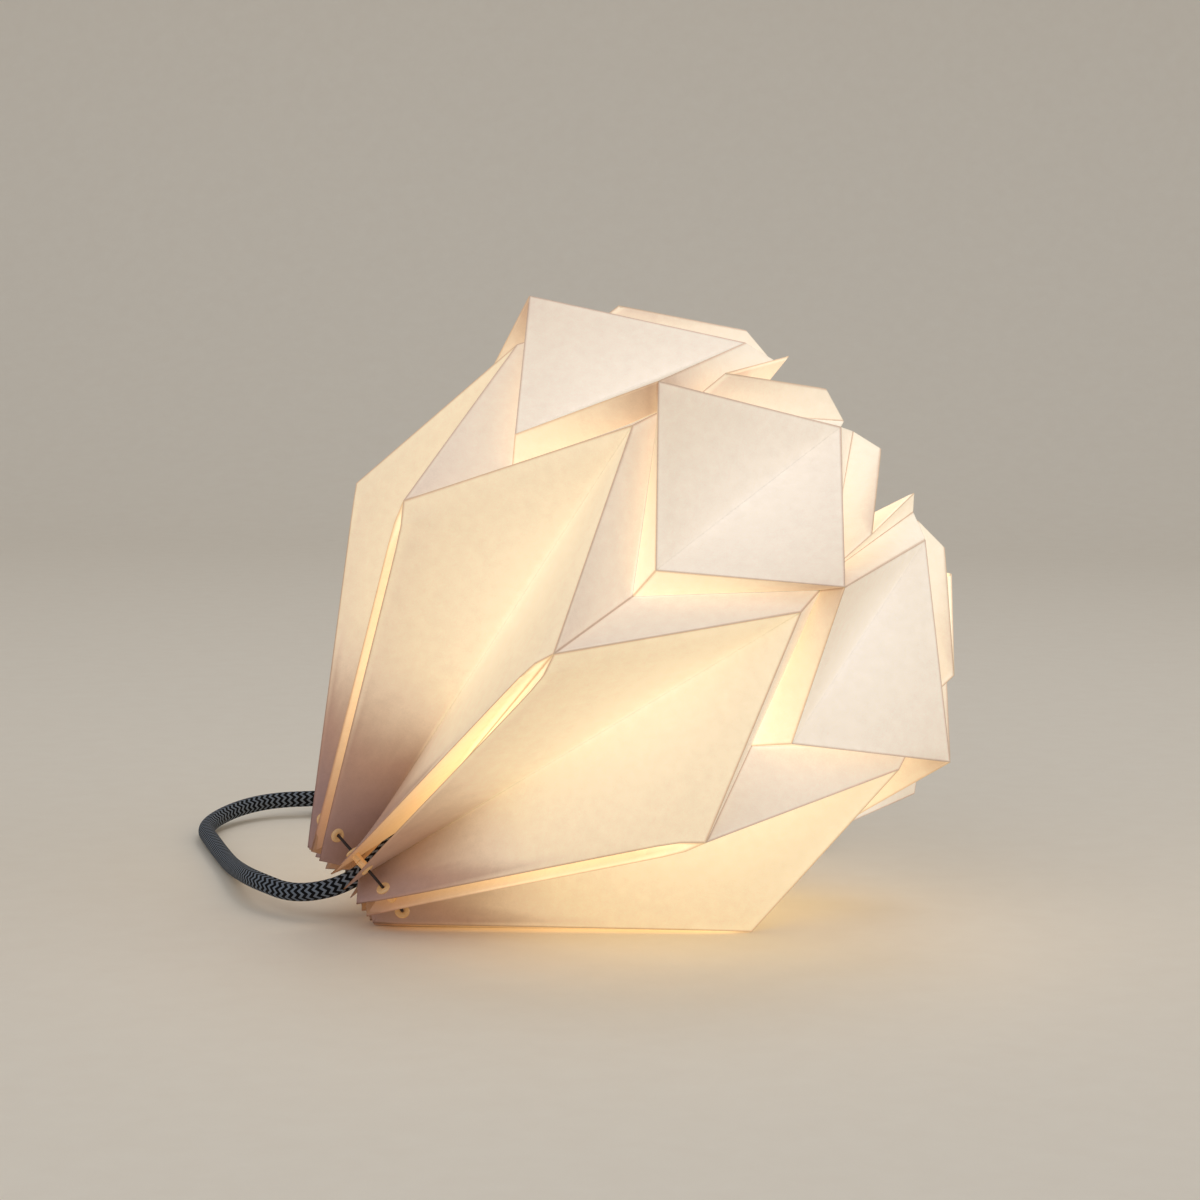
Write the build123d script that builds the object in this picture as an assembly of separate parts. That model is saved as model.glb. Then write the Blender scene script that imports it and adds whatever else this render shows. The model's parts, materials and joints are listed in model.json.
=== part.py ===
from build123d import *
import math
import os

# A table lamp: one pleated paper sheet drawn together at its neck by a cord through eight clear
# eyelets. It lies on two ribs and the edge of its neck, with a lampholder and bulb inside and a
# textile flex that runs to a switch, a coil and a plug. Millimetres.
#
# The lamp's own axes: Z along the shade, from the neck to the mouth, 0 at the widest ring, and X
# to the side that ends up on top. The part's axes: Z up, X level from the neck to the mouth.

# Folded sheet. A corner of its creases has a radius and a height in the lamp's axes. A module is
# an eighth of the ring, mirrored about its own centre line.
MODULES = 8
PAPER = 0.4
MITRE_LIMIT = 3.0
NECK_VALLEY_R = 7.3
NECK_VALLEY_Z = -188.4
NECK_CORNER_R = 19.2
NECK_CORNER_Z = -195.3
NECK_CORNER_TURN = 11.4
NECK_PLEAT_R = 4.9
NECK_PLEAT_Z = -156.7
RIB_TOP_R = 114.5
RIB_TOP_Z = -90.2
KITE_TIP_R = 114.9
KITE_TIP_Z = -15.2
GROOVE_LOW_R = 92.1
GROOVE_LOW_Z = -53.3
GROOVE_TIP_R = 110.4
GROOVE_TIP_Z = -4.0
DIAMOND_LOW_R = 105.5
DIAMOND_LOW_Z = -43.2
SHADE_R = 126.0
DIAMOND_TOP_R = 70.4
DIAMOND_TOP_Z = 48.5
NOTCH_FLOOR_R = 102.1
NOTCH_FLOOR_Z = 2.8
NOTCH_TIP_R = 101.4
NOTCH_TIP_Z = 24.8
RIM_FOLD_R = 56.6
RIM_FOLD_Z = 54.3
RIM_FOLD_TURN = 20.0
RIM_PEAK_R = 65.5
RIM_PEAK_Z = 55.8
RIM_PEAK_TURN = 9.2
RIM_BACK_R = 70.9
RIM_BACK_Z = 20.9

# Eyelets and the cord that gathers the neck
EYELET_RING_R = 22.6
EYELET_Z = -184.0
EYELET_REACH = 7.0
EYELET_HEAD_R = 2.9
EYELET_HEAD_H = 1.2
EYELET_SHANK_R = 1.6
EYELET_BORE_R = 0.9
EYELET_HOLE_PLAY = 0.25
EYELET_SEAT = 0.45
STRING_R = 0.55
STRING_BEND = 1.6
KNOT_R = 1.9
KNOT_REACH = 28.0
TAIL_LENGTH = 13.0
TAIL_SPLAY = 3.0

# Lampholder for a bulb with a 27 mm screw cap
SEAT_GAP = 0.3
NIPPLE_R = 6.5
HOLDER_R = 20.0
HOLDER_WALL = 1.8
CAP_SIDE = 26.0
GRIP_R = 5.0
GRIP_FLANGE_R = 8.0
GRIP_FLANGE_H = 8.0
FLEX_PLAY = 0.1
FIT_PLAY = 0.05
GRIP_SCREW_R = 1.5
INSERT_H = 20.0
INSERT_SINK = 6.0
BARREL_H = 37.0
BARREL_RIM = 2.0
THREAD_R = 13.7
THREAD_WALL = 0.6
THREAD_H = 21.0
CONTACT_W = 5.0
CONTACT_SHEET = 0.5
CONTACT_RISE = 3.0
TERMINAL_REACH = 9.5
TERMINAL_R = 2.2
TERMINAL_H = 1.8
TERMINAL_SHANK_R = 1.2
CORE_R = 1.1
CORE_SPREAD = 1.6

# Bulb
TIP_GAP = 0.2
TIP_R = 4.0
TIP_H = 1.6
INSULATOR_H = 3.4
BULB_CAP_R = 13.1
BULB_CAP_WALL = 0.4
BULB_CAP_H = 22.0
BULB_R = 30.0
BULB_H = 105.0
BULB_NECK_R = 12.4
GLASS = 0.8
GLASS_SINK = 3.0
STEM_R = 4.5
STEM_H = 22.0
FILAMENTS = 4
FILAMENT_R = 1.0
FILAMENT_H = 34.0
FILAMENT_RING_R = 8.0
FILAMENT_LEAN = 8.0
WIRE_R = 0.4

# Flex, coil, switch and plug, in the part's axes
FLEX_R = 3.5
LEAD_BEND_Z = -163.6
LEAD_POINTS = [
    (-105.3, 1.5, 16.6),
    (-126.4, 15.2, 8.9),
    (-137.7, 40.1, 8),
    (-134.5, 71.2, 3.5),
    (-138, 107.1, 3.5),
    (-138.8, 141, 3.5),
    (-138.7, 184, 4.2),
    (-109.4, 217, 8),
]
COIL_X = 28.0
COIL_Y = 170.0
COIL_R = 47.0
COIL_STEP = 7.6
COIL_HALF_TURNS_IN = 5
COIL_HALF_TURNS_OUT = 4
TAIL_POINTS = [
    (53, 220.8, 11.1),
    (84, 209, 9),
    (102, 186, 6.85),
]
TIE_W = 9.0
TIE_T = 1.0
TIE_GAP = 0.7
SWITCH_X = -48.0
SWITCH_L = 60.0
SWITCH_W = 26.0
SWITCH_H = 18.0
SWITCH_WALL = 2.0
SWITCH_ROUND = 4.0
FLEX_AXIS_Z = 8.0
FLEX_ENTRY = 6.0
ROCKER_L = 20.0
ROCKER_W = 10.0
ROCKER_TILT = 9.0
ROCKER_GAP = 0.4
ROCKER_PROUD = 1.5
ROCKER_DEPTH = 6.0
PIN_R = 1.0
PIN_PLAY = 0.05
BOSS_R = 2.8
BOSS_REACH = 17.0
SCREW_R = 1.2
SCREW_HEAD_R = 2.2
SCREW_HEAD_H = 1.4
PLUG_X = 102.0
PLUG_Y = 135.0
PLUG_L = 26.0
PLUG_W = 35.0
PLUG_T = 13.7
PLUG_NECK_W = 16.0
RELIEF_L = 22.0
RELIEF_R = 5.6
PLUG_PIN_R = 2.0
PLUG_PIN_L = 19.0
PLUG_PIN_SPACING = 19.0
SLEEVE_L = 10.0
SLEEVE_R = 1.75
SLEEVE_CORE_R = 1.4


def polar(radius, height, turn):
    angle = math.radians(turn)
    return Vector(radius * math.cos(angle), radius * math.sin(angle), height)


# ------------------------------------------------------------------ folded sheet
HALF = 180 / MODULES
CORNERS = {
    "neck_valley": (NECK_VALLEY_R, NECK_VALLEY_Z, 0),
    "neck_corner": (NECK_CORNER_R, NECK_CORNER_Z, NECK_CORNER_TURN),
    "neck_pleat": (NECK_PLEAT_R, NECK_PLEAT_Z, HALF),
    "rib_top": (RIB_TOP_R, RIB_TOP_Z, HALF),
    "kite_tip": (KITE_TIP_R, KITE_TIP_Z, 0),
    "groove_low": (GROOVE_LOW_R, GROOVE_LOW_Z, HALF),
    "groove_tip": (GROOVE_TIP_R, GROOVE_TIP_Z, 0),
    "diamond_low": (DIAMOND_LOW_R, DIAMOND_LOW_Z, HALF),
    "diamond_side": (SHADE_R, 0, 0),
    "diamond_top": (DIAMOND_TOP_R, DIAMOND_TOP_Z, HALF),
    "notch_floor": (NOTCH_FLOOR_R, NOTCH_FLOOR_Z, 0),
    "notch_tip": (NOTCH_TIP_R, NOTCH_TIP_Z, 0),
    "rim_fold": (RIM_FOLD_R, RIM_FOLD_Z, RIM_FOLD_TURN),
    "rim_peak": (RIM_PEAK_R, RIM_PEAK_Z, RIM_PEAK_TURN),
    "rim_back": (RIM_BACK_R, RIM_BACK_Z, 0),
}
# Half a module's facets, each round its outer face, cut into triangles
FACETS = [
    ("neck_valley", "neck_corner", "rib_top"),
    ("neck_valley", "rib_top", "kite_tip"),
    ("neck_corner", "neck_pleat", "rib_top"),
    ("rib_top", "groove_low", "groove_tip"),
    ("rib_top", "groove_tip", "kite_tip"),
    ("groove_low", "diamond_low", "diamond_side"),
    ("groove_low", "diamond_side", "groove_tip"),
    ("diamond_low", "diamond_top", "diamond_side"),
    ("diamond_side", "diamond_top", "rim_fold"),
    ("diamond_side", "rim_fold", "notch_floor"),
    ("notch_floor", "rim_fold", "rim_peak"),
    ("notch_floor", "rim_peak", "notch_tip"),
    ("notch_tip", "rim_peak", "rim_back"),
]
EDGES = [
    ("neck_valley", "neck_corner"),
    ("neck_corner", "neck_pleat"),
    ("diamond_top", "rim_fold"),
    ("rim_fold", "rim_peak"),
    ("rim_peak", "rim_back"),
]
SEAM = ["neck_valley", "kite_tip", "groove_tip", "diamond_side", "notch_floor", "notch_tip", "rim_back"]


def corner_key(name, module, side):
    turn = (module * 2 * HALF + side * CORNERS[name][2]) % 360
    return (name, round(turn, 3))


def half_modules():
    return [(module, side) for module in range(MODULES) for side in (1, -1)]


def ring_of(names, module, side):
    keys = [corner_key(name, module, side) for name in names]
    return keys if side > 0 else keys[::-1]


def sheet_facets():
    return [ring_of(facet, *half) for half in half_modules() for facet in FACETS]


def sheet_points():
    points = {}
    for facet in sheet_facets():
        for name, turn in facet:
            points[(name, turn)] = polar(CORNERS[name][0], CORNERS[name][1], turn)
    return points


def facet_normal(points, facet):
    a, b, c = (points[key] for key in facet)
    return (b - a).cross(c - a).normalized()


def thickness_steps(points):
    """From the sheet's middle to its outer face at each corner, mitred between the facets."""
    normals = {key: [] for key in points}
    for facet in sheet_facets():
        normal = facet_normal(points, facet)
        for key in facet:
            normals[key].append(normal)
    steps = {}
    for key, around in normals.items():
        middle = sum(around, Vector(0, 0, 0)).normalized()
        lean = min(middle.dot(normal) for normal in around)
        steps[key] = middle * (PAPER / 2 / max(lean, 1 / MITRE_LIMIT))
    return steps


MIDDLE = sheet_points()
STEPS = thickness_steps(MIDDLE)
OUTER = {key: MIDDLE[key] + STEPS[key] for key in MIDDLE}
INNER = {key: MIDDLE[key] - STEPS[key] for key in MIDDLE}


def triangle(a, b, c):
    return Face(Wire.make_polygon([a, b, c], close=True))


def gore(module):
    """The sheet between two valleys, closed where it meets its neighbours."""
    faces = []
    for half in [(module, 1), ((module + 1) % MODULES, -1)]:
        for names in FACETS:
            a, b, c = ring_of(names, *half)
            faces.append(triangle(OUTER[a], OUTER[b], OUTER[c]))
            faces.append(triangle(INNER[a], INNER[c], INNER[b]))
        seam = [tuple(pair) for pair in zip(SEAM[1:], SEAM)]
        for edge in EDGES + seam:
            a, b = ring_of(edge, *half)
            faces.append(triangle(OUTER[a], INNER[a], INNER[b]))
            faces.append(triangle(OUTER[a], INNER[b], OUTER[b]))
    return Solid(Shell(faces))


# ------------------------------------------------------------------ how the lamp lies
def resting_frame():
    """The lamp's axes in the part's axes: two rib tops and the neck's corners on the table."""
    rib = OUTER[corner_key("rib_top", MODULES // 2, 1)]
    neck = OUTER[corner_key("neck_corner", MODULES // 2, 1)]
    tilt = math.atan2(neck.X - rib.X, rib.Z - neck.Z)
    up_side = Vector(-math.sin(tilt), 0, math.cos(tilt))
    axis = Vector(math.cos(tilt), 0, math.sin(tilt))
    level = Plane(origin=(0, 0, 0), x_dir=up_side, z_dir=axis)
    corners = [level.from_local_coords(point) for point in OUTER.values()]
    xs = [point.X for point in corners]
    floor = min(point.Z for point in corners)
    origin = (-(min(xs) + max(xs)) / 2, 0, -floor)
    return Plane(origin=origin, x_dir=up_side, z_dir=axis)


LAMP = resting_frame()


def lay(shape):
    return LAMP.location * shape


def lay_point(x, y, z):
    return LAMP.from_local_coords(Vector(x, y, z))


# ------------------------------------------------------------------ eyelets and string
def kite_face(side):
    """Middle of the paper beside a rib at turn 0: a point of it and its outward normal."""
    turn = -side * HALF
    corner = polar(NECK_CORNER_R, NECK_CORNER_Z, -turn - side * NECK_CORNER_TURN)
    valley = polar(NECK_VALLEY_R, NECK_VALLEY_Z, -turn)
    rib = polar(RIB_TOP_R, RIB_TOP_Z, 0)
    normal = (corner - valley).cross(rib - valley).normalized()
    if normal.dot(Vector(0, side, 0)) < 0:
        normal = normal * -1
    return valley, normal


def head_centre(side):
    """Where the eyelet's line comes out of the paper beside the rib."""
    valley, normal = kite_face(side)
    start = Vector(EYELET_RING_R, 0, EYELET_Z)
    along = Vector(0, side, 0)
    reach = (valley - start).dot(normal) / along.dot(normal)
    return start + along * reach, normal


def rod(start, end, radius):
    along = end - start
    return Plane(origin=start, z_dir=along) * Cylinder(
        radius, along.length, align=(Align.CENTER, Align.CENTER, Align.MIN)
    )


def eyelet():
    bodies = []
    centres = []
    for side in (1, -1):
        centre, normal = head_centre(side)
        seat = centre + normal * EYELET_SEAT
        bodies.append(rod(seat, seat + normal * EYELET_HEAD_H, EYELET_HEAD_R))
        centres.append(seat + normal * (EYELET_HEAD_H / 2))
    shank = rod(centres[0], centres[1], EYELET_SHANK_R)
    reach = Vector(0, EYELET_REACH * 2, 0)
    bore = rod(centres[1] - reach, centres[0] + reach, EYELET_BORE_R)
    return shank + bodies[0] + bodies[1] - bore


def ring_copies(shape):
    return [Rot(0, 0, (index + 0.5) * 2 * HALF) * shape for index in range(MODULES)]


def eyelet_hole():
    reach = EYELET_REACH + EYELET_HEAD_R
    radius = EYELET_SHANK_R + EYELET_HOLE_PLAY
    return rod(Vector(EYELET_RING_R, -reach, EYELET_Z), Vector(EYELET_RING_R, reach, EYELET_Z), radius)


def tube(points, radii, radius):
    path = FilletPolyline(*points, radius=radii)
    section = Plane(origin=path @ 0, z_dir=path % 0) * Circle(radius)
    return sweep(section, path=path)


def drawstring():
    """An eight-cornered loop through the eyelets, knotted outside the valley at the back."""
    corner_r = EYELET_RING_R / math.cos(math.radians(HALF))
    back = 3 * MODULES // 4
    corners = [polar(corner_r, EYELET_Z, (back + index) * 2 * HALF) for index in range(1, MODULES)]
    knot = polar(KNOT_REACH, EYELET_Z, back * 2 * HALF)
    sides = [polar(corner_r, EYELET_Z, (back + step) * 2 * HALF) for step in (0, MODULES)]
    first = sides[0] + (corners[0] - sides[0]).normalized() * STRING_BEND
    last = sides[1] + (corners[-1] - sides[1]).normalized() * STRING_BEND
    loop = tube([first] + corners + [last], [STRING_BEND] * len(corners), STRING_R)
    ends = rod(first, knot, STRING_R) + rod(last, knot, STRING_R)
    ends += Pos(*first) * Sphere(STRING_R) + Pos(*last) * Sphere(STRING_R)
    down = LAMP.to_local_coords(LAMP.origin + Vector(0, 0, -1)).normalized()
    splay = Vector(0, 0, TAIL_SPLAY)
    tails = rod(knot, knot + down * TAIL_LENGTH + splay, STRING_R)
    tails += rod(knot, knot + down * TAIL_LENGTH - splay, STRING_R)
    return loop + ends + tails + Pos(*knot) * Sphere(KNOT_R)


# ------------------------------------------------------------------ lampholder
def turned(points):
    return revolve(Plane.XZ * make_face(Polyline(*points, close=True)), Axis.Z)


def pleat_height(radius):
    """Height at which the pleats' inner folds stand at a radius."""
    low = INNER[corner_key("neck_pleat", 0, 1)]
    high = INNER[corner_key("rib_top", 0, 1)]
    low_r = math.hypot(low.X, low.Y)
    high_r = math.hypot(high.X, high.Y)
    return low.Z + (radius - low_r) / (high_r - low_r) * (high.Z - low.Z)


SEAT_RISE = SEAT_GAP * math.hypot(1, (pleat_height(HOLDER_R) - pleat_height(0)) / HOLDER_R)
NIPPLE_Z = pleat_height(NIPPLE_R) + SEAT_RISE
SHOULDER_Z = pleat_height(HOLDER_R) + SEAT_RISE
CAP_TOP_Z = SHOULDER_Z + CAP_SIDE
INSERT_Z = CAP_TOP_Z - INSERT_SINK
INSERT_TOP_Z = INSERT_Z + INSERT_H
CAP_INNER_R = HOLDER_R - HOLDER_WALL
GRIP_HOLE_R = GRIP_R + FIT_PLAY
GRIP_SEAT_Z = NIPPLE_Z + 2 * HOLDER_WALL
FLEX_END_Z = GRIP_SEAT_Z + GRIP_FLANGE_H + HOLDER_WALL
FLEX_HOLE_R = FLEX_R + FLEX_PLAY
TIP_Z = INSERT_TOP_Z + CONTACT_RISE + TIP_GAP


def holder_cap():
    floor = GRIP_SEAT_Z
    return turned([
        (GRIP_HOLE_R, NIPPLE_Z),
        (NIPPLE_R, NIPPLE_Z),
        (HOLDER_R, SHOULDER_Z),
        (HOLDER_R, CAP_TOP_Z),
        (CAP_INNER_R, CAP_TOP_Z),
        (CAP_INNER_R, SHOULDER_Z + HOLDER_WALL),
        (GRIP_FLANGE_R + HOLDER_WALL, floor),
        (GRIP_HOLE_R, floor),
    ])


def cord_grip():
    body = turned([
        (FLEX_HOLE_R, NIPPLE_Z),
        (GRIP_R, NIPPLE_Z),
        (GRIP_R, GRIP_SEAT_Z),
        (GRIP_FLANGE_R, GRIP_SEAT_Z),
        (GRIP_FLANGE_R, GRIP_SEAT_Z + GRIP_FLANGE_H),
        (FLEX_HOLE_R, GRIP_SEAT_Z + GRIP_FLANGE_H),
    ])
    return body - grip_screw(GRIP_SCREW_R + FIT_PLAY)


def grip_screw(radius):
    height = GRIP_SEAT_Z + GRIP_FLANGE_H / 2
    start = Vector(0, FLEX_HOLE_R, height)
    return rod(start, start + Vector(0, GRIP_FLANGE_R - FLEX_R + HOLDER_WALL, 0), radius)


def terminal_places():
    return [Vector(side * TERMINAL_REACH, 0, INSERT_Z) for side in (1, -1)]


def terminal_screw(place):
    head = rod(place - Vector(0, 0, TERMINAL_H), place, TERMINAL_R)
    shank = rod(place, place + Vector(0, 0, INSERT_H / 2), TERMINAL_SHANK_R)
    return head + shank


def holder_insert():
    body = turned([
        (0, INSERT_Z),
        (CAP_INNER_R - FIT_PLAY, INSERT_Z),
        (CAP_INNER_R - FIT_PLAY, INSERT_Z + INSERT_SINK + HOLDER_WALL),
        (THREAD_R + THREAD_WALL, INSERT_Z + INSERT_SINK + HOLDER_WALL),
        (THREAD_R + THREAD_WALL, INSERT_TOP_Z),
        (0, INSERT_TOP_Z),
    ])
    for place in terminal_places():
        body -= rod(place, place + Vector(0, 0, INSERT_H / 2), TERMINAL_SHANK_R + FIT_PLAY)
    return body


def holder_barrel():
    bore = THREAD_R + THREAD_WALL + FIT_PLAY
    step = INSERT_Z + INSERT_SINK + HOLDER_WALL + FIT_PLAY
    top = CAP_TOP_Z + BARREL_H
    return turned([
        (CAP_INNER_R, CAP_TOP_Z),
        (HOLDER_R, CAP_TOP_Z),
        (HOLDER_R, top - BARREL_RIM),
        (HOLDER_R - BARREL_RIM, top),
        (bore, top),
        (bore, step),
        (CAP_INNER_R, step),
    ])


def thread_shell():
    outer = THREAD_R + THREAD_WALL
    top = INSERT_TOP_Z + THREAD_H
    return turned([(THREAD_R, INSERT_TOP_Z), (outer, INSERT_TOP_Z), (outer, top), (THREAD_R, top)])


def box_from(low, high):
    size = high - low
    return Pos(*low) * Box(*size, align=(Align.MIN, Align.MIN, Align.MIN))


def centre_contact():
    half = CONTACT_W / 2
    length = THREAD_R / 2
    sheet = CONTACT_SHEET
    foot = box_from(Vector(-length, -half, INSERT_TOP_Z), Vector(0, half, INSERT_TOP_Z + sheet))
    riser = box_from(
        Vector(-length, -half, INSERT_TOP_Z),
        Vector(-length + sheet, half, INSERT_TOP_Z + CONTACT_RISE),
    )
    top = box_from(
        Vector(-length, -half, INSERT_TOP_Z + CONTACT_RISE - sheet),
        Vector(half, half, INSERT_TOP_Z + CONTACT_RISE),
    )
    return foot + riser + top


def side_contact():
    high = THREAD_R - FIT_PLAY
    sheet = CONTACT_SHEET
    half = CONTACT_W / 2
    foot = box_from(Vector(high - CONTACT_W, -half, INSERT_TOP_Z), Vector(high, half, INSERT_TOP_Z + sheet))
    ring = turned([
        (THREAD_R - sheet, INSERT_TOP_Z),
        (high, INSERT_TOP_Z),
        (high, INSERT_TOP_Z + CONTACT_RISE),
        (THREAD_R - sheet, INSERT_TOP_Z + CONTACT_RISE),
    ])
    wall = ring & box_from(Vector(0, -half, INSERT_TOP_Z), Vector(HOLDER_R, half, INSERT_TOP_Z + CONTACT_RISE))
    return (foot & rod(Vector(0, 0, INSERT_TOP_Z), Vector(0, 0, TIP_Z), high)) + wall


def holder_core(side):
    start = Vector(side * CORE_SPREAD, 0, FLEX_END_Z)
    head = Vector(side * TERMINAL_REACH, 0, INSERT_Z - TERMINAL_H)
    third = (head.Z - start.Z) / 3
    points = [start, start + Vector(0, 0, third), head - Vector(0, 0, third), head]
    return tube(points, [2 * CORE_R] * 2, CORE_R)


# ------------------------------------------------------------------ bulb
BULB_CAP_Z = TIP_Z + TIP_H + INSULATOR_H
BULB_CAP_TOP_Z = BULB_CAP_Z + BULB_CAP_H
GLASS_Z = BULB_CAP_TOP_Z - GLASS_SINK
GLASS_TOP_Z = TIP_Z + BULB_H
GLOBE_Z = GLASS_TOP_Z - BULB_R


def bulb_tip_contact():
    return turned([(0, TIP_Z), (TIP_R, TIP_Z), (TIP_R, TIP_Z + TIP_H), (0, TIP_Z + TIP_H)])


def bulb_insulator():
    low = TIP_Z + TIP_H
    return turned([(0, low), (TIP_R, low), (BULB_CAP_R - 2 * GLASS, BULB_CAP_Z), (0, BULB_CAP_Z)])


def bulb_cap():
    inner = BULB_CAP_R - BULB_CAP_WALL
    return turned([
        (0, BULB_CAP_Z),
        (BULB_CAP_R - 2 * GLASS, BULB_CAP_Z),
        (BULB_CAP_R, BULB_CAP_Z + 2 * GLASS),
        (BULB_CAP_R, BULB_CAP_TOP_Z),
        (inner, BULB_CAP_TOP_Z),
        (inner, BULB_CAP_Z + 3 * GLASS),
        (0, BULB_CAP_Z + 3 * GLASS),
    ])


def glass_body(shrink):
    """A globe with a cone that meets it smoothly, and a straight neck."""
    globe = BULB_R - shrink
    neck = BULB_NECK_R - shrink
    drop = GLOBE_Z - BULB_CAP_TOP_Z
    lean = math.asin(globe / math.hypot(drop, neck)) - math.atan2(neck, drop)
    ring_r = globe * math.cos(lean)
    ring_z = GLOBE_Z - globe * math.sin(lean)
    outline = Polyline((0, GLASS_Z), (neck, GLASS_Z), (neck, BULB_CAP_TOP_Z), (ring_r, ring_z))
    crown = ThreePointArc(
        (ring_r, ring_z),
        (globe * math.cos(math.radians(30)), GLOBE_Z + globe * math.sin(math.radians(30))),
        (0, GLOBE_Z + globe),
    )
    close = Line((0, GLOBE_Z + globe), (0, GLASS_Z))
    return revolve(Plane.XZ * make_face(outline + crown + close), Axis.Z)


STEM_TOP_Z = GLASS_Z + STEM_H


def bulb_glass():
    return glass_body(0) - glass_body(GLASS) - Pos(0, 0, GLASS_Z) * Cylinder(BULB_NECK_R - GLASS, 2 * GLASS)


def bulb_stem():
    flare = BULB_NECK_R - GLASS - FIT_PLAY
    return turned([
        (0, GLASS_Z),
        (flare, GLASS_Z),
        (flare, GLASS_Z + GLASS),
        (STEM_R, GLASS_Z + STEM_H / 2),
        (STEM_R / 2, STEM_TOP_Z),
        (0, STEM_TOP_Z),
    ])


def filament_ends(index):
    turn = index * 360 / FILAMENTS
    start = STEM_TOP_Z + 2 * WIRE_R
    low = polar(FILAMENT_RING_R, start, turn)
    high = polar(FILAMENT_RING_R, start + FILAMENT_H, turn + FILAMENT_LEAN)
    return low, high


def bulb_filaments():
    return [rod(*filament_ends(index), FILAMENT_R) for index in range(FILAMENTS)]


def filament_wires():
    """A post on the stem with an arm to each end of each filament."""
    post_top = STEM_TOP_Z + FILAMENT_H + 4 * WIRE_R
    wires = rod(Vector(0, 0, STEM_TOP_Z), Vector(0, 0, post_top), WIRE_R)
    for index in range(FILAMENTS):
        low, high = filament_ends(index)
        wires += rod(Vector(0, 0, low.Z - WIRE_R), low - Vector(0, 0, WIRE_R), WIRE_R)
        wires += rod(Vector(0, 0, high.Z + WIRE_R), high + Vector(0, 0, WIRE_R), WIRE_R)
    return wires


# ------------------------------------------------------------------ flex
def corner_radii(points):
    radii = []
    for before, here, after in zip(points, points[1:], points[2:]):
        into = Vector(*here) - Vector(*before)
        out = Vector(*after) - Vector(*here)
        half_turn = math.radians(into.get_angle(out) / 2)
        radii.append(0.45 * min(into.length, out.length) / math.tan(half_turn))
    return radii


def flex_tube(name, points):
    radii = corner_radii(points)
    path = FilletPolyline(*points, radius=radii)
    solid = tube(points, radii, FLEX_R)
    volume = math.pi * FLEX_R ** 2 * path.length
    print(name, "length", round(path.length, 1), "radii", [round(radius, 1) for radius in radii])
    print(name, "volume", round(solid.volume, 1), "section times length", round(volume, 1))
    return solid


COIL_TOP_Z = FLEX_R + COIL_STEP
COIL_START = Vector(COIL_X, COIL_Y + COIL_R, FLEX_R)
COIL_END = Vector(COIL_X, COIL_Y + COIL_R + COIL_STEP / 2, COIL_TOP_Z)
SWITCH_Y = COIL_START.Y


def flex_lead():
    straight = [tuple(lay_point(0, 0, height)) for height in (FLEX_END_Z, LEAD_BEND_Z)]
    entry = (SWITCH_X - SWITCH_L / 2 + FLEX_ENTRY, SWITCH_Y, FLEX_AXIS_Z)
    return flex_tube("flex_lead", straight + LEAD_POINTS + [entry])


def flex_run():
    out = SWITCH_X + SWITCH_L / 2 - FLEX_ENTRY
    gap = COIL_X - 2 * FLEX_R - out
    points = [
        (out, SWITCH_Y, FLEX_AXIS_Z),
        (out + gap * 0.28, SWITCH_Y, FLEX_AXIS_Z),
        (out + gap * 0.62, SWITCH_Y, FLEX_R),
        (COIL_X - 2 * FLEX_R, SWITCH_Y, FLEX_R),
    ]
    return flex_tube("flex_run", points)


def coil_insets():
    """How many steps in from the outside each half turn ends, first in and then out on top."""
    inward = [index // 2 for index in range(COIL_HALF_TURNS_IN + 1)]
    innermost = inward[-1] + 1
    outward = [(COIL_HALF_TURNS_OUT - 2 - index) / 2 for index in range(COIL_HALF_TURNS_OUT)]
    return inward + [innermost] + outward


def coil_arcs():
    """Half turns in, a climb of one layer, and half turns out, with the straight ends."""
    insets = coil_insets()
    here = COIL_START
    heading = 1
    edges = [Line(COIL_START - Vector(2 * FLEX_R, 0, 0), COIL_START)]
    for index, (before, after) in enumerate(zip(insets, insets[1:])):
        radius = COIL_R - COIL_STEP * (before + after) / 2
        climb = COIL_STEP if index == COIL_HALF_TURNS_IN else 0
        end = here + Vector(0, -2 * heading * radius, climb)
        reach = (end - here).length / 2
        middle = (here + end) * 0.5 + Vector(heading * reach, 0, 0)
        edges.append(ThreePointArc(here, middle, end))
        here = end
        heading = -heading
    edges.append(Line(here, here + Vector(2 * FLEX_R, 0, 0)))
    return edges


def flex_coil():
    edges = coil_arcs()
    path = Wire(edges)
    section = Plane(origin=path @ 0, z_dir=path % 0) * Circle(FLEX_R)
    samples = round(path.length / 2)
    points = [path @ (index / samples) for index in range(samples + 1)]
    apart = round(math.pi * FLEX_R * 2)
    gap = min(
        (points[later] - points[index]).length
        for index in range(0, samples, 2)
        for later in range(index + apart, samples + 1, 2)
    )
    print("flex_coil length", round(path.length, 1), "least gap", round(gap - 2 * FLEX_R, 2))
    return sweep(section, path=path)


def relief_start():
    return Vector(PLUG_X, PLUG_Y + RELIEF_L, PLUG_T / 2)


def flex_tail():
    start = COIL_END + Vector(2 * FLEX_R, 0, 0)
    plug = relief_start()
    return flex_tube("flex_tail", [tuple(start)] + TAIL_POINTS + [tuple(plug)])


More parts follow.
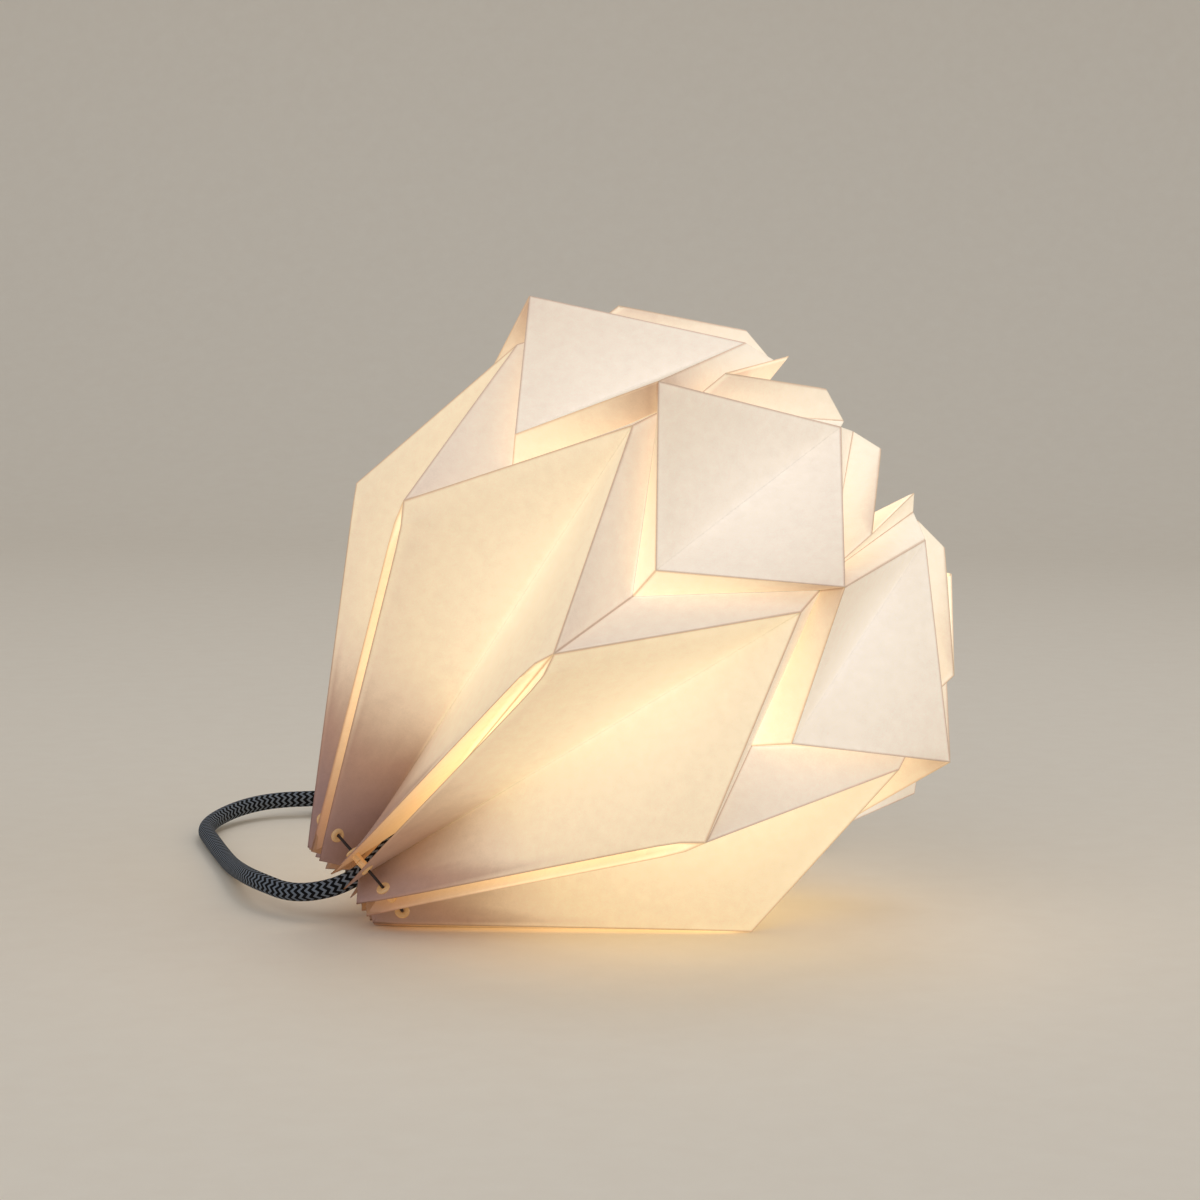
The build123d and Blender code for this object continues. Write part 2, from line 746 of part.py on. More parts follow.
def coil_tie():
    """A flat strap round the turns at the front of the coil."""
    half = TIE_W / 2
    low = COIL_Y - COIL_R - FLEX_R - TIE_GAP
    high = COIL_Y - COIL_R + (COIL_HALF_TURNS_IN // 2) * COIL_STEP + FLEX_R + TIE_GAP
    top = COIL_TOP_Z + FLEX_R + TIE_GAP
    outer = box_from(Vector(COIL_X - half, low - TIE_T, 0), Vector(COIL_X + half, high + TIE_T, top + TIE_T))
    ring = fillet(outer.edges().filter_by(Axis.X), FLEX_R)
    inside = box_from(Vector(COIL_X - TIE_W, low, 0), Vector(COIL_X + TIE_W, high, top))
    return ring - fillet(inside.edges().filter_by(Axis.X).sort_by(Axis.Z)[2:], FLEX_R - TIE_T)


# ------------------------------------------------------------------ switch
SWITCH_SPLIT = SWITCH_H / 2
ROCKER_Z = SWITCH_H - SWITCH_WALL - PIN_R * 2


def at_switch(shape):
    return Pos(SWITCH_X, SWITCH_Y, 0) * shape


def switch_block(low, high, shrink):
    length = SWITCH_L - 2 * shrink
    width = SWITCH_W - 2 * shrink
    block = Pos(0, 0, low) * Box(length, width, high - low, align=(Align.CENTER, Align.CENTER, Align.MIN))
    return fillet(block.edges().filter_by(Axis.Z), SWITCH_ROUND - shrink / 2)


def flex_bore():
    half = SWITCH_L / 2 + 1
    return rod(Vector(-half, 0, FLEX_AXIS_Z), Vector(half, 0, FLEX_AXIS_Z), FLEX_R + FLEX_PLAY)


def bosses(low, high, radius):
    places = [Vector(side * BOSS_REACH, 0, 0) for side in (1, -1)]
    posts = [rod(place + Vector(0, 0, low), place + Vector(0, 0, high), radius) for place in places]
    return posts[0] + posts[1]


def switch_base():
    shell = switch_block(0, SWITCH_SPLIT, 0) - switch_block(SWITCH_WALL, SWITCH_SPLIT, SWITCH_WALL)
    shell = shell - flex_bore() + bosses(SWITCH_WALL, SWITCH_SPLIT, BOSS_R)
    shell -= bosses(0, SWITCH_SPLIT, SCREW_R + FIT_PLAY)
    return at_switch(shell - bosses(0, SCREW_HEAD_H, SCREW_HEAD_R + FIT_PLAY))


def switch_cover():
    shell = switch_block(SWITCH_SPLIT, SWITCH_H, 0)
    shell -= switch_block(SWITCH_SPLIT, SWITCH_H - SWITCH_WALL, SWITCH_WALL)
    shell = shell - flex_bore() + bosses(SWITCH_SPLIT, SWITCH_H - SWITCH_WALL, BOSS_R)
    shell -= bosses(SWITCH_SPLIT, SWITCH_H - SWITCH_WALL, SCREW_R + FIT_PLAY)
    window_l = ROCKER_L + 2 * ROCKER_GAP + 2 * ROCKER_PROUD
    window_w = ROCKER_W + 2 * ROCKER_GAP
    shell -= Pos(0, 0, SWITCH_H) * Box(window_l, window_w, 4 * SWITCH_WALL)
    for side in (1, -1):
        ear_y = side * (window_w / 2 + SWITCH_WALL / 2)
        ear = Box(4 * PIN_R, SWITCH_WALL, SWITCH_H - SWITCH_WALL - ROCKER_Z + 2 * PIN_R)
        shell += Pos(0, ear_y, (SWITCH_H - SWITCH_WALL + ROCKER_Z - 2 * PIN_R) / 2) * ear
    return at_switch(shell - rocker_rod(PIN_R))


def rocker_rod(radius):
    half = ROCKER_W / 2 + ROCKER_GAP + SWITCH_WALL
    return rod(Vector(0, -half, ROCKER_Z), Vector(0, half, ROCKER_Z), radius)


def rocker_pin():
    return at_switch(rocker_rod(PIN_R))


def switch_rocker():
    """Tilted to the on side at rest, with a shallow dish along its top."""
    half = ROCKER_L / 2
    top = SWITCH_H + ROCKER_PROUD - ROCKER_Z
    low = top - ROCKER_DEPTH
    outline = Polyline((-half, top), (-half + ROCKER_PROUD, low), (half - ROCKER_PROUD, low), (half, top))
    dish = ThreePointArc((half, top), (0, top - ROCKER_PROUD), (-half, top))
    block = extrude(Plane.XZ * make_face(outline + dish), amount=ROCKER_W / 2, both=True)
    hub = rod(Vector(0, -ROCKER_W / 2, 0), Vector(0, ROCKER_W / 2, 0), 2 * PIN_R)
    block = block + hub - rod(Vector(0, -ROCKER_W, 0), Vector(0, ROCKER_W, 0), PIN_R + PIN_PLAY)
    return at_switch(Pos(0, 0, ROCKER_Z) * Rot(0, ROCKER_TILT, 0) * block)


def switch_screws():
    return [
        at_switch(
            Pos(side * BOSS_REACH, 0, 0)
            * (
                rod(Vector(0, 0, 0), Vector(0, 0, SWITCH_SPLIT + BOSS_R), SCREW_R)
                + rod(Vector(0, 0, 0), Vector(0, 0, SCREW_HEAD_H), SCREW_HEAD_R)
            )
        )
        for side in (1, -1)
    ]


def switch_contacts():
    """Two brass strips on the base, one each side of the rocker."""
    strip_l = SWITCH_L - 4 * SWITCH_WALL - 2 * SWITCH_ROUND
    strips = []
    for side in (1, -1):
        strip = Box(strip_l, CONTACT_W / 2, 2 * CONTACT_SHEET, align=(Align.CENTER, Align.CENTER, Align.MIN))
        strips.append(at_switch(Pos(0, side * (SWITCH_W / 2 - 2 * SWITCH_WALL - CONTACT_W / 2), SWITCH_WALL) * strip))
    return strips


# ------------------------------------------------------------------ plug
def at_plug(shape):
    return Pos(PLUG_X, PLUG_Y, PLUG_T / 2) * shape


def plug_body():
    """A flat six-sided body, wide at the pins and narrow at the lead."""
    wide = PLUG_W / 2
    narrow = PLUG_NECK_W / 2
    outline = Polyline(
        (narrow, 0),
        (wide, -PLUG_L * 0.6),
        (wide, -PLUG_L),
        (-wide, -PLUG_L),
        (-wide, -PLUG_L * 0.6),
        (-narrow, 0),
        close=True,
    )
    block = extrude(make_face(outline), amount=PLUG_T / 2, both=True)
    block = fillet(block.edges().filter_by(Axis.Z), SWITCH_WALL)
    for side in (1, -1):
        block -= plug_pin_rod(side, PLUG_PIN_R, -PLUG_L, PLUG_L / 2)
    return at_plug(block)


def plug_pin_rod(side, radius, start, length):
    place = Vector(side * PLUG_PIN_SPACING / 2, start, 0)
    return rod(place, place + Vector(0, length, 0), radius)


def plug_pins():
    """Bare tips of full size, thinner under their sleeves, held in the body."""
    pins = []
    for side in (1, -1):
        bare = plug_pin_rod(side, PLUG_PIN_R, -PLUG_L - SLEEVE_L, SLEEVE_L - PLUG_PIN_L)
        tip = fillet(bare.edges().sort_by(Axis.Y)[0], PLUG_PIN_R / 2)
        neck = plug_pin_rod(side, SLEEVE_CORE_R, -PLUG_L - SLEEVE_L, SLEEVE_L)
        root = plug_pin_rod(side, PLUG_PIN_R, -PLUG_L, PLUG_L / 2)
        pins.append(at_plug(tip + neck + root))
    return pins


def pin_sleeves():
    sleeves = []
    for side in (1, -1):
        outer = plug_pin_rod(side, SLEEVE_R, -PLUG_L - SLEEVE_L, SLEEVE_L)
        sleeves.append(at_plug(outer - plug_pin_rod(side, SLEEVE_CORE_R, -PLUG_L - SLEEVE_L, SLEEVE_L)))
    return sleeves


def plug_relief():
    """A tapered sleeve on the last stretch of the flex."""
    cone = Cone(RELIEF_R, FLEX_R + 1, RELIEF_L, align=(Align.CENTER, Align.CENTER, Align.MIN))
    return at_plug(Rot(-90, 0, 0) * cone)


# ------------------------------------------------------------------ writing
def shade():
    """The whole sheet, cut on its valleys into one solid for each rib."""
    gores = []
    for module in range(MODULES):
        hole = Rot(0, 0, (module + 0.5) * 2 * HALF) * eyelet_hole()
        gores.append(lay(gore(module) - hole))
    return gores


NODES = {
    "paper_shade": shade,
    "rib_eyelets": lambda: [lay(copy) for copy in ring_copies(eyelet())],
    "drawstring": lambda: lay(drawstring()),
    "holder_cap": lambda: lay(holder_cap()),
    "cord_grip": lambda: lay(cord_grip()),
    "grip_screw": lambda: lay(grip_screw(GRIP_SCREW_R)),
    "holder_insert": lambda: lay(holder_insert()),
    "holder_barrel": lambda: lay(holder_barrel()),
    "thread_shell": lambda: lay(thread_shell()),
    "centre_contact": lambda: lay(centre_contact()),
    "side_contact": lambda: lay(side_contact()),
    "terminal_screws": lambda: [lay(terminal_screw(place)) for place in terminal_places()],
    "core_live": lambda: lay(holder_core(1)),
    "core_neutral": lambda: lay(holder_core(-1)),
    "bulb_tip_contact": lambda: lay(bulb_tip_contact()),
    "bulb_insulator": lambda: lay(bulb_insulator()),
    "bulb_cap": lambda: lay(bulb_cap()),
    "bulb_glass": lambda: lay(bulb_glass()),
    "bulb_stem": lambda: lay(bulb_stem()),
    "bulb_filaments": lambda: [lay(stick) for stick in bulb_filaments()],
    "filament_wires": lambda: lay(filament_wires()),
    "flex_lead": flex_lead,
    "flex_run": flex_run,
    "flex_coil": flex_coil,
    "flex_tail": flex_tail,
    "coil_tie": coil_tie,
    "switch_base": switch_base,
    "switch_cover": switch_cover,
    "switch_rocker": switch_rocker,
    "rocker_pin": rocker_pin,
    "switch_screws": switch_screws,
    "switch_contacts": switch_contacts,
    "plug_body": plug_body,
    "plug_pins": plug_pins,
    "pin_sleeves": pin_sleeves,
    "plug_relief": plug_relief,
}


def write(name, made):
    shape = Compound(made) if isinstance(made, list) else made
    export_step(shape, "parts/" + name + ".step")


os.makedirs("parts", exist_ok=True)
print("axis", [round(value, 4) for value in LAMP.z_dir], "at", [round(value, 2) for value in LAMP.origin])
print("rocker", SWITCH_X, SWITCH_Y, ROCKER_Z)
for name, make in NODES.items():
    write(name, make())
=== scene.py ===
import json
import math

import bpy
import bmesh
from mathutils import Matrix, Vector
from mathutils.bvhtree import BVHTree


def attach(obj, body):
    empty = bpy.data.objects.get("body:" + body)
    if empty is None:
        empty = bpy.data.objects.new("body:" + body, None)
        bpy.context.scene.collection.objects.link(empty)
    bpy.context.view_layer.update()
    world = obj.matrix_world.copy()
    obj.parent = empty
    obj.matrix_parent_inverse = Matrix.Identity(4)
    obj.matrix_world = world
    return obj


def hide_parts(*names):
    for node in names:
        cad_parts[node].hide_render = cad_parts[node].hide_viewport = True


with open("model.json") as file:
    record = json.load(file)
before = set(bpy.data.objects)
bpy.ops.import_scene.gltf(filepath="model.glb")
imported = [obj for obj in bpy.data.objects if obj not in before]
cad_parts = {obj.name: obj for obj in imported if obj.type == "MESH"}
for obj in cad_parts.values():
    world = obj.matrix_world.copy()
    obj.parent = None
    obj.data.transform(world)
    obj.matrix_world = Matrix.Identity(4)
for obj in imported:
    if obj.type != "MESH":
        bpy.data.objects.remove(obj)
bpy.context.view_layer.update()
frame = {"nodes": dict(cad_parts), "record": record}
MM = 0.001

# ------------------------------------------------------------------ the lamp's own axes
TILT = math.radians(39.5174)
LAMP_ORIGIN = Vector((39.291, 0.0, 139.377))
LAMP_X = Vector((-math.sin(TILT), 0, math.cos(TILT)))
LAMP_Y = Vector((0, -1, 0))
LAMP_Z = Vector((math.cos(TILT), 0, math.sin(TILT)))


def lay(point):
    """A point in the lamp's axes, in millimetres, as a point of the frame in metres."""
    return (LAMP_ORIGIN + LAMP_X * point[0] + LAMP_Y * point[1] + LAMP_Z * point[2]) * MM


def polar(radius, height, turn):
    """A point in the lamp's axes, from its radius, its height and its turn in degrees."""
    angle = math.radians(turn)
    return Vector((radius * math.cos(angle), radius * math.sin(angle), height))


# ------------------------------------------------------------------ camera
PHOTO_PX = 1200
FOCAL_PX = 2774.9
SENSOR_MM = 36.0
CLIP_END_M = 50
camera_data = bpy.data.cameras.new("camera")
camera = bpy.data.objects.new("camera", camera_data)
bpy.context.scene.collection.objects.link(camera)
bpy.context.scene.camera = camera
CAMERA_AT = Vector((-302.0, -1011.1, 239.4)) * MM
RIGHT = Vector((0.96143, -0.27465, 0.01504))
DOWN = Vector((-0.01617, -0.11102, -0.99369))
AHEAD = Vector((0.27459, 0.95511, -0.11118))
camera.matrix_world = Matrix((
    (RIGHT.x, -DOWN.x, -AHEAD.x, CAMERA_AT.x),
    (RIGHT.y, -DOWN.y, -AHEAD.y, CAMERA_AT.y),
    (RIGHT.z, -DOWN.z, -AHEAD.z, CAMERA_AT.z),
    (0, 0, 0, 1),
))
camera_data.sensor_width = SENSOR_MM
camera_data.lens = SENSOR_MM * FOCAL_PX / PHOTO_PX
camera_data.shift_x = -1 / PHOTO_PX
camera_data.clip_end = CLIP_END_M


# ------------------------------------------------------------------ helpers
def link(name, data):
    obj = bpy.data.objects.new(name, data)
    bpy.context.scene.collection.objects.link(obj)
    return obj


def mesh_piece(name, bm, sharp=None):
    """An object of a finished mesh, smooth but for edges sharper than an angle in degrees."""
    mesh = bpy.data.meshes.new(name)
    bm.to_mesh(mesh)
    bm.free()
    for polygon in mesh.polygons:
        polygon.use_smooth = True
    if sharp is not None:
        mesh.set_sharp_from_angle(angle=math.radians(sharp))
    return link(name, mesh)


class Nodes:
    """A material being written: each call adds one node."""

    def __init__(self, name):
        self.material = bpy.data.materials.new(name)
        self.material.use_nodes = True
        self.tree = self.material.node_tree
        self.tree.nodes.clear()
        self.out = self.tree.nodes.new("ShaderNodeOutputMaterial")

    def add(self, kind, inputs=None, **values):
        node = self.tree.nodes.new(kind)
        for key, value in values.items():
            setattr(node, key, value)
        for key, value in (inputs or {}).items():
            if isinstance(value, bpy.types.NodeSocket):
                self.tree.links.new(value, node.inputs[key])
            else:
                node.inputs[key].default_value = value
        return node

    def math(self, operation, a, b=0.0, c=0.0, clamp=False):
        inputs = {0: a, 1: b, 2: c}
        return self.add("ShaderNodeMath", inputs, operation=operation, use_clamp=clamp).outputs[0]

    def mix(self, factor, a, b, blend="MIX"):
        inputs = {0: factor, 6: a, 7: b}
        return self.add("ShaderNodeMix", inputs, data_type="RGBA", blend_type=blend).outputs[2]

    def times(self, colour, value):
        """A colour multiplied by one value in all its channels."""
        grey = self.add("ShaderNodeCombineXYZ", {0: value, 1: value, 2: value}).outputs[0]
        return self.mix(1.0, colour, grey, "MULTIPLY")

    def attribute(self, name, output):
        return self.add("ShaderNodeAttribute", attribute_name=name).outputs[output]

    def apart(self, vector):
        return self.add("ShaderNodeSeparateXYZ", {0: vector}).outputs

    def between(self, value, start, end, low=0.0, high=1.0):
        """A smooth step from low, up to start, to high, from end on."""
        inputs = {"Value": value, "From Min": start, "From Max": end, "To Min": low, "To Max": high}
        step = self.add("ShaderNodeMapRange", inputs, interpolation_type="SMOOTHSTEP")
        return step.outputs[0]

    def noise(self, scale, detail, roughness, distortion=0.0):
        place = self.add("ShaderNodeTexCoord").outputs["Object"]
        inputs = {"Scale": scale, "Detail": detail, "Roughness": roughness,
                  "Distortion": distortion, "Vector": place}
        return self.add("ShaderNodeTexNoise", inputs).outputs["Fac"]

    def ramp(self, factor, stops):
        node = self.add("ShaderNodeValToRGB", {"Fac": factor})
        elements = node.color_ramp.elements
        while len(elements) < len(stops):
            elements.new(0.5)
        for element, (position, colour) in zip(elements, stops):
            element.position = position
            element.color = colour
        return node.outputs["Color"]

    def bump(self, height, strength, distance, normal=None):
        inputs = {"Height": height, "Strength": strength, "Distance": distance}
        if normal is not None:
            inputs["Normal"] = normal
        return self.add("ShaderNodeBump", inputs).outputs["Normal"]

    def surface(self, **inputs):
        named = {key.replace("_", " "): value for key, value in inputs.items()}
        shader = self.add("ShaderNodeBsdfPrincipled", named)
        self.tree.links.new(shader.outputs[0], self.out.inputs["Surface"])
        return self.material


def rgb(red, green, blue):
    """A colour given as it looks on a screen, from 0 to 255, in the linear values a node takes."""
    def linear(value):
        value /= 255
        return value / 12.92 if value <= 0.04045 else ((value + 0.055) / 1.055) ** 2.4
    return (linear(red), linear(green), linear(blue), 1.0)


# ------------------------------------------------------------------ the folded sheet
MODULES = 8
HALF = 180 / MODULES
# The sheet's corners in the lamp's axes: radius and height in millimetres, and the turn in
# degrees from the middle of a module, its valley, towards a rib.
CORNERS = {
    "neck_valley": (7.3, -188.4, 0.0),
    "neck_corner": (19.2, -195.3, 11.4),
    "neck_pleat": (4.9, -156.7, HALF),
    "rib_top": (114.5, -90.2, HALF),
    "kite_tip": (114.9, -15.2, 0.0),
    "groove_low": (92.1, -53.3, HALF),
    "groove_tip": (110.4, -4.0, 0.0),
    "diamond_low": (105.5, -43.2, HALF),
    "diamond_side": (126.0, 0.0, 0.0),
    "diamond_top": (70.4, 48.5, HALF),
    "notch_floor": (102.1, 2.8, 0.0),
    "notch_tip": (101.4, 24.8, 0.0),
    "rim_fold": (56.6, 54.3, 20.0),
    "rim_peak": (65.5, 55.8, 9.2),
    "rim_back": (70.9, 20.9, 0.0),
}
# Each facet of half a module, round its outer face, with how white the light through it is and
# how strong. A four-sided one is a gently twisted surface.
FACETS = {
    ("neck_valley", "neck_corner", "rib_top", "kite_tip"): (0.0, 1.0),
    ("neck_corner", "neck_pleat", "rib_top"): (0.15, 1.6),
    ("rib_top", "groove_low", "groove_tip", "kite_tip"): (0.9, 0.84),
    ("groove_low", "diamond_low", "diamond_side", "groove_tip"): (0.15, 1.35),
    ("diamond_low", "diamond_top", "diamond_side"): (0.9, 0.86),
    ("diamond_side", "diamond_top", "rim_fold", "notch_floor"): (0.8, 1.0),
    ("notch_floor", "rim_fold", "rim_peak", "notch_tip"): (0.7, 1.1),
    ("notch_tip", "rim_peak", "rim_back"): (0.9, 1.6),
}
# Edges of facets with no painted shade line along them: cut edges, and folds that hardly show.
FREE_EDGES = {
    frozenset(("neck_valley", "neck_corner")),
    frozenset(("neck_corner", "neck_pleat")),
    frozenset(("neck_valley", "kite_tip")),
    frozenset(("groove_low", "groove_tip")),
    frozenset(("diamond_low", "diamond_top")),
    frozenset(("diamond_top", "rim_fold")),
    frozenset(("rim_fold", "rim_peak")),
    frozenset(("rim_peak", "rim_back")),
}
FAR = 99.0  # the distance to a crease that isn't there
PLEAT_GLOW = 0.34
PLEAT_DARK_Z = -200.0  # the height where a pleat's own glow starts, and where it is full
PLEAT_LIT_Z = -135.0
SHEET_T = 0.4
GRID = 16
SLOT_HALF = 3.1
SLOT_ROUND = 0.84  # where along the slot its round top starts
WELD = 0.005
SHEET_SHARP = 9


def corner(name, module, side):
    radius, height, turn = CORNERS[name]
    return polar(radius, height, module * 2 * HALF + side * turn)


def slot_opening(along):
    """How far the edge of a slot stands out beyond its straight crease, from neck 0 to top 1."""
    radius, _, turn = CORNERS["neck_corner"]
    straight = radius * math.sin(math.radians(HALF - turn))
    wanted = SLOT_HALF
    if along > SLOT_ROUND:
        wanted *= math.sqrt(max(0.0, 1 - ((along - SLOT_ROUND) / (1 - SLOT_ROUND)) ** 2))
    return max(0.0, wanted - straight * (1 - along))


def bowed(point, weights, module, side):
    """Paper beside a slot bows away from it, so that the slot keeps its width up to a round top."""
    crease = weights.get("neck_corner", 0) + weights.get("rib_top", 0)
    if "neck_corner" not in weights or crease < 1e-6:
        return point
    along = weights["rib_top"] / crease
    power = 2 if "kite_tip" in weights else 1
    away = -side * slot_opening(along) * crease ** power
    rib = math.radians(module * 2 * HALF + side * HALF)
    return point + Vector((-math.sin(rib), math.cos(rib), 0)) * away


def facet_weights(names):
    """Rows of corner weights over a facet, with GRID steps along every edge."""
    rows = []
    for i in range(GRID + 1):
        u = i / GRID
        if len(names) == 3:
            rows.append([(1 - u - j / GRID, u, j / GRID) for j in range(GRID + 1 - i)])
        else:
            row = []
            for j in range(GRID + 1):
                v = j / GRID
                row.append(((1 - u) * (1 - v), u * (1 - v), u * v, (1 - u) * v))
            rows.append(row)
    return rows


def line_distance(point, start, end):
    along = end - start
    return (point - start).cross(along).length / along.length


def fold_distances(point, names, ends):
    """How far a point of a facet is from each of its folds."""
    found = []
    for index, start in enumerate(ends):
        following = (index + 1) % len(ends)
        free = frozenset((names[index], names[following])) in FREE_EDGES
        found.append(FAR if free else line_distance(point, start, ends[following]))
    return found + [FAR] * (4 - len(found))


def pleat_glow(height):
    """The two sides of a pleat light each other, less and less towards the neck."""
    up = min(1.0, max(0.0, (height - PLEAT_DARK_Z) / (PLEAT_LIT_Z - PLEAT_DARK_Z)))
    return PLEAT_GLOW * up


def facet_grid(bm, layers, names, module, side):
    """One facet as a fine grid, with its folds, its tone and its least glow in the layers."""
    ends = [corner(name, module, side) for name in names]
    rows = []
    folds = {}
    for weights_row in facet_weights(names):
        row = []
        for weights in weights_row:
            flat = sum((end * weight for end, weight in zip(ends, weights)), Vector())
            vert = bm.verts.new(bowed(flat, dict(zip(names, weights)), module, side))
            folds[vert] = fold_distances(flat, names, ends)
            row.append(vert)
        rows.append(row)
    faces = []
    for low, high in zip(rows, rows[1:]):
        for j in range(len(low) - 1):
            if j + 1 < len(high):
                faces.append((low[j], high[j], high[j + 1], low[j + 1]))
            else:
                faces.append((low[j], high[j], low[j + 1]))
    for corners in faces:
        face = bm.faces.new(corners if side > 0 else corners[::-1])
        for loop in face.loops:
            loop[layers[0]] = Vector(folds[loop.vert][:3])
            loop[layers[1]] = folds[loop.vert][3]
            least = pleat_glow(loop.vert.co.z) if "neck_pleat" in names else 0.0
            loop[layers[2]] = Vector((*FACETS[names], least))


def sheet_mesh():
    bm = bmesh.new()
    values = bm.loops.layers
    layers = (values.float_vector.new("fold_lines"), values.float.new("fold_line"),
              values.float_vector.new("tone"))
    for module in range(MODULES):
        for side in (1, -1):
            for names in FACETS:
                facet_grid(bm, layers, names, module, side)
    bmesh.ops.remove_doubles(bm, verts=bm.verts, dist=WELD)
    bm.normal_update()
    return bm


# ------------------------------------------------------------------ light inside the shade
# The lit globe inside the bulb's glass, and the lampholder's barrel, in the lamp's axes.
BULB_AT = Vector((-10.0, 0, -28.4))
BULB_R = 24.0
HOLDER_R = 20.0
HOLDER_TOP = -84.0
HOLDER_LOW = -147.0
SHEET_PASSES = 0.42  # the share of the light that one sheet lets through
MOST_SHEETS = 3
SHEET_CLEARANCE = 0.4
LEVEL_SHARE = 0.3  # what a glancing ray gives, as a share of a square one
SOURCES = 48
GLOW_SCALE = 10000


def globe_points(count):
    """Evenly spread points of the bulb's globe."""
    points = []
    for index in range(count):
        height = 1 - 2 * (index + 0.5) / count
        ring = math.sqrt(1 - height * height)
        turn = index * math.pi * (3 - math.sqrt(5))
        outward = Vector((ring * math.cos(turn), ring * math.sin(turn), height))
        points.append(BULB_AT + outward * BULB_R)
    return points


def holder_blocks(start, end):
    """True where the lampholder's barrel stands between two points."""
    drop = end.z - start.z
    if end.z > HOLDER_TOP:
        return False
    for height in (HOLDER_TOP, (HOLDER_TOP + HOLDER_LOW) / 2, HOLDER_LOW):
        if height < end.z:
            continue
        point = start + (end - start) * ((height - start.z) / drop)
        if math.hypot(point.x, point.y) < HOLDER_R:
            return True
    return False


def light_at(tree, point, normal, sources):
    """Direct light from the bulb, after the sheets that stand between."""
    total = 0.0
    for source in sources:
        if holder_blocks(source, point):
            continue
        ray = point - source
        left = ray.length
        square = left * left
        ray.normalize()
        layers = 0
        start = source
        left -= 2 * SHEET_CLEARANCE
        while layers < MOST_SHEETS and left > 0:
            hit, _, _, reach = tree.ray_cast(start, ray, left)
            if hit is None:
                break
            layers += 1
            start = hit + ray * SHEET_CLEARANCE
            left -= reach + SHEET_CLEARANCE
        facing = LEVEL_SHARE + (1 - LEVEL_SHARE) * abs(ray.dot(normal))
        total += facing / square * SHEET_PASSES ** layers
    return total / len(sources)


def sheet_light(bm):
    """The light that reaches each point, worked out once for both sides of the upright plane."""
    tree = BVHTree.FromBMesh(bm)
    sources = globe_points(SOURCES)
    known = {}
    values = []
    for vert in bm.verts:
        key = (round(vert.co.x, 1), round(abs(vert.co.y), 1), round(vert.co.z, 1))
        if key not in known:
            known[key] = light_at(tree, vert.co, vert.normal, sources)
        values.append(known[key])
    return values


# ------------------------------------------------------------------ paper
# Painted shade along the folds: a darker, warmer line in the paper's base colour and in its glow.
CREASE_SHADE_COLOUR = rgb(166, 128, 124)
CREASE_CORE = 0.10  # the painted shade along a fold is darkest up to here from its line, in millimetres
CREASE_REACH = 0.95
CREASE_SHADE_DEPTH = 0.62
SHADE_GLOW = 0.06  # below this glow the paper has its colour in shade, above the next its lit one
LIT_GLOW = 0.34
WHITER = (0.95, 1.05, 1.5, 1)
CREASE_GLOW_SHADE = (0.50, 0.34, 0.20, 1)
# The light that comes out of the paper, for the light that reaches its inside.
GLOW_RAMP = [
    (0.0, (0.065, 0.028, 0.008, 1)),
    (0.05, (0.19, 0.094, 0.030, 1)),
    (0.12, (0.28, 0.18, 0.065, 1)),
    (0.26, (0.46, 0.355, 0.155, 1)),
    (0.50, (0.61, 0.51, 0.27, 1)),
    (1.0, (0.78, 0.71, 0.47, 1)),
]
GLOW_TO_RAMP = 0.55
FOLD_ROUNDING_M = 0.0007


def crease_shade_mask(made):
    """How much of the painted shade line along the nearest fold a point has."""
    three = made.apart(made.attribute("fold_lines", "Vector"))
    fourth = made.attribute("fold_line", "Fac")
    nearer = made.math("MINIMUM", three[0], three[1])
    near = made.math("MINIMUM", nearer, made.math("MINIMUM", three[2], fourth))
    return made.between(near, CREASE_CORE, CREASE_REACH, CREASE_SHADE_DEPTH, 0.0)


def paper(name, shade_colour, lit_colour, gain):
    """Fibrous lampshade paper. Its own light is what the bulb sends through it."""
    made = Nodes(name)
    whiteness, strength, least = made.apart(made.attribute("tone", "Vector"))
    glow = made.math("MAXIMUM", made.attribute("glow", "Fac"), least)
    crease = crease_shade_mask(made)
    cloud = made.noise(260, 5, 0.65)
    fibre = made.noise(1500, 3, 0.7, distortion=1.2)
    mottle = made.math("MULTIPLY_ADD", cloud, 0.20, 0.80)
    mottle = made.math("MULTIPLY_ADD", fibre, 0.20, mottle)
    # Painted shade: the base colour goes from its shaded copy, where little of the bulb's light
    # reaches, to its lit copy.
    colour = made.mix(made.between(glow, SHADE_GLOW, LIT_GLOW), shade_colour, lit_colour)
    # Painted shade along each fold: the base colour here and the glow below darken near the fold
    # line.
    colour = made.mix(made.math("MULTIPLY", crease, 0.9), colour, CREASE_SHADE_COLOUR)
    light = made.ramp(made.math("MULTIPLY", glow, GLOW_TO_RAMP), GLOW_RAMP)
    light = made.mix(whiteness, light, made.mix(1.0, light, WHITER, "MULTIPLY"))
    light = made.mix(crease, light, made.mix(1.0, light, CREASE_GLOW_SHADE, "MULTIPLY"))
    power = made.math("MULTIPLY", made.math("MULTIPLY", mottle, strength), gain)
    rounded = made.add("ShaderNodeBevel", {"Radius": FOLD_ROUNDING_M}, samples=4).outputs["Normal"]
    height = made.math("MULTIPLY_ADD", fibre, 0.6, made.math("MULTIPLY", cloud, 0.8))
    return made.surface(
        Base_Color=made.times(colour, mottle),
        Roughness=made.math("MULTIPLY_ADD", fibre, 0.2, 0.52),
        Specular_IOR_Level=0.3,
        Sheen_Weight=0.12,
        Emission_Color=made.times(light, power),
        Emission_Strength=1.0,
        Normal=made.bump(height, 0.22, 0.0004, rounded),
    )


def apply_modifiers(obj):
    depsgraph = bpy.context.evaluated_depsgraph_get()
    done = bpy.data.meshes.new_from_object(obj.evaluated_get(depsgraph), depsgraph=depsgraph)
    obj.modifiers.clear()
    obj.data = done


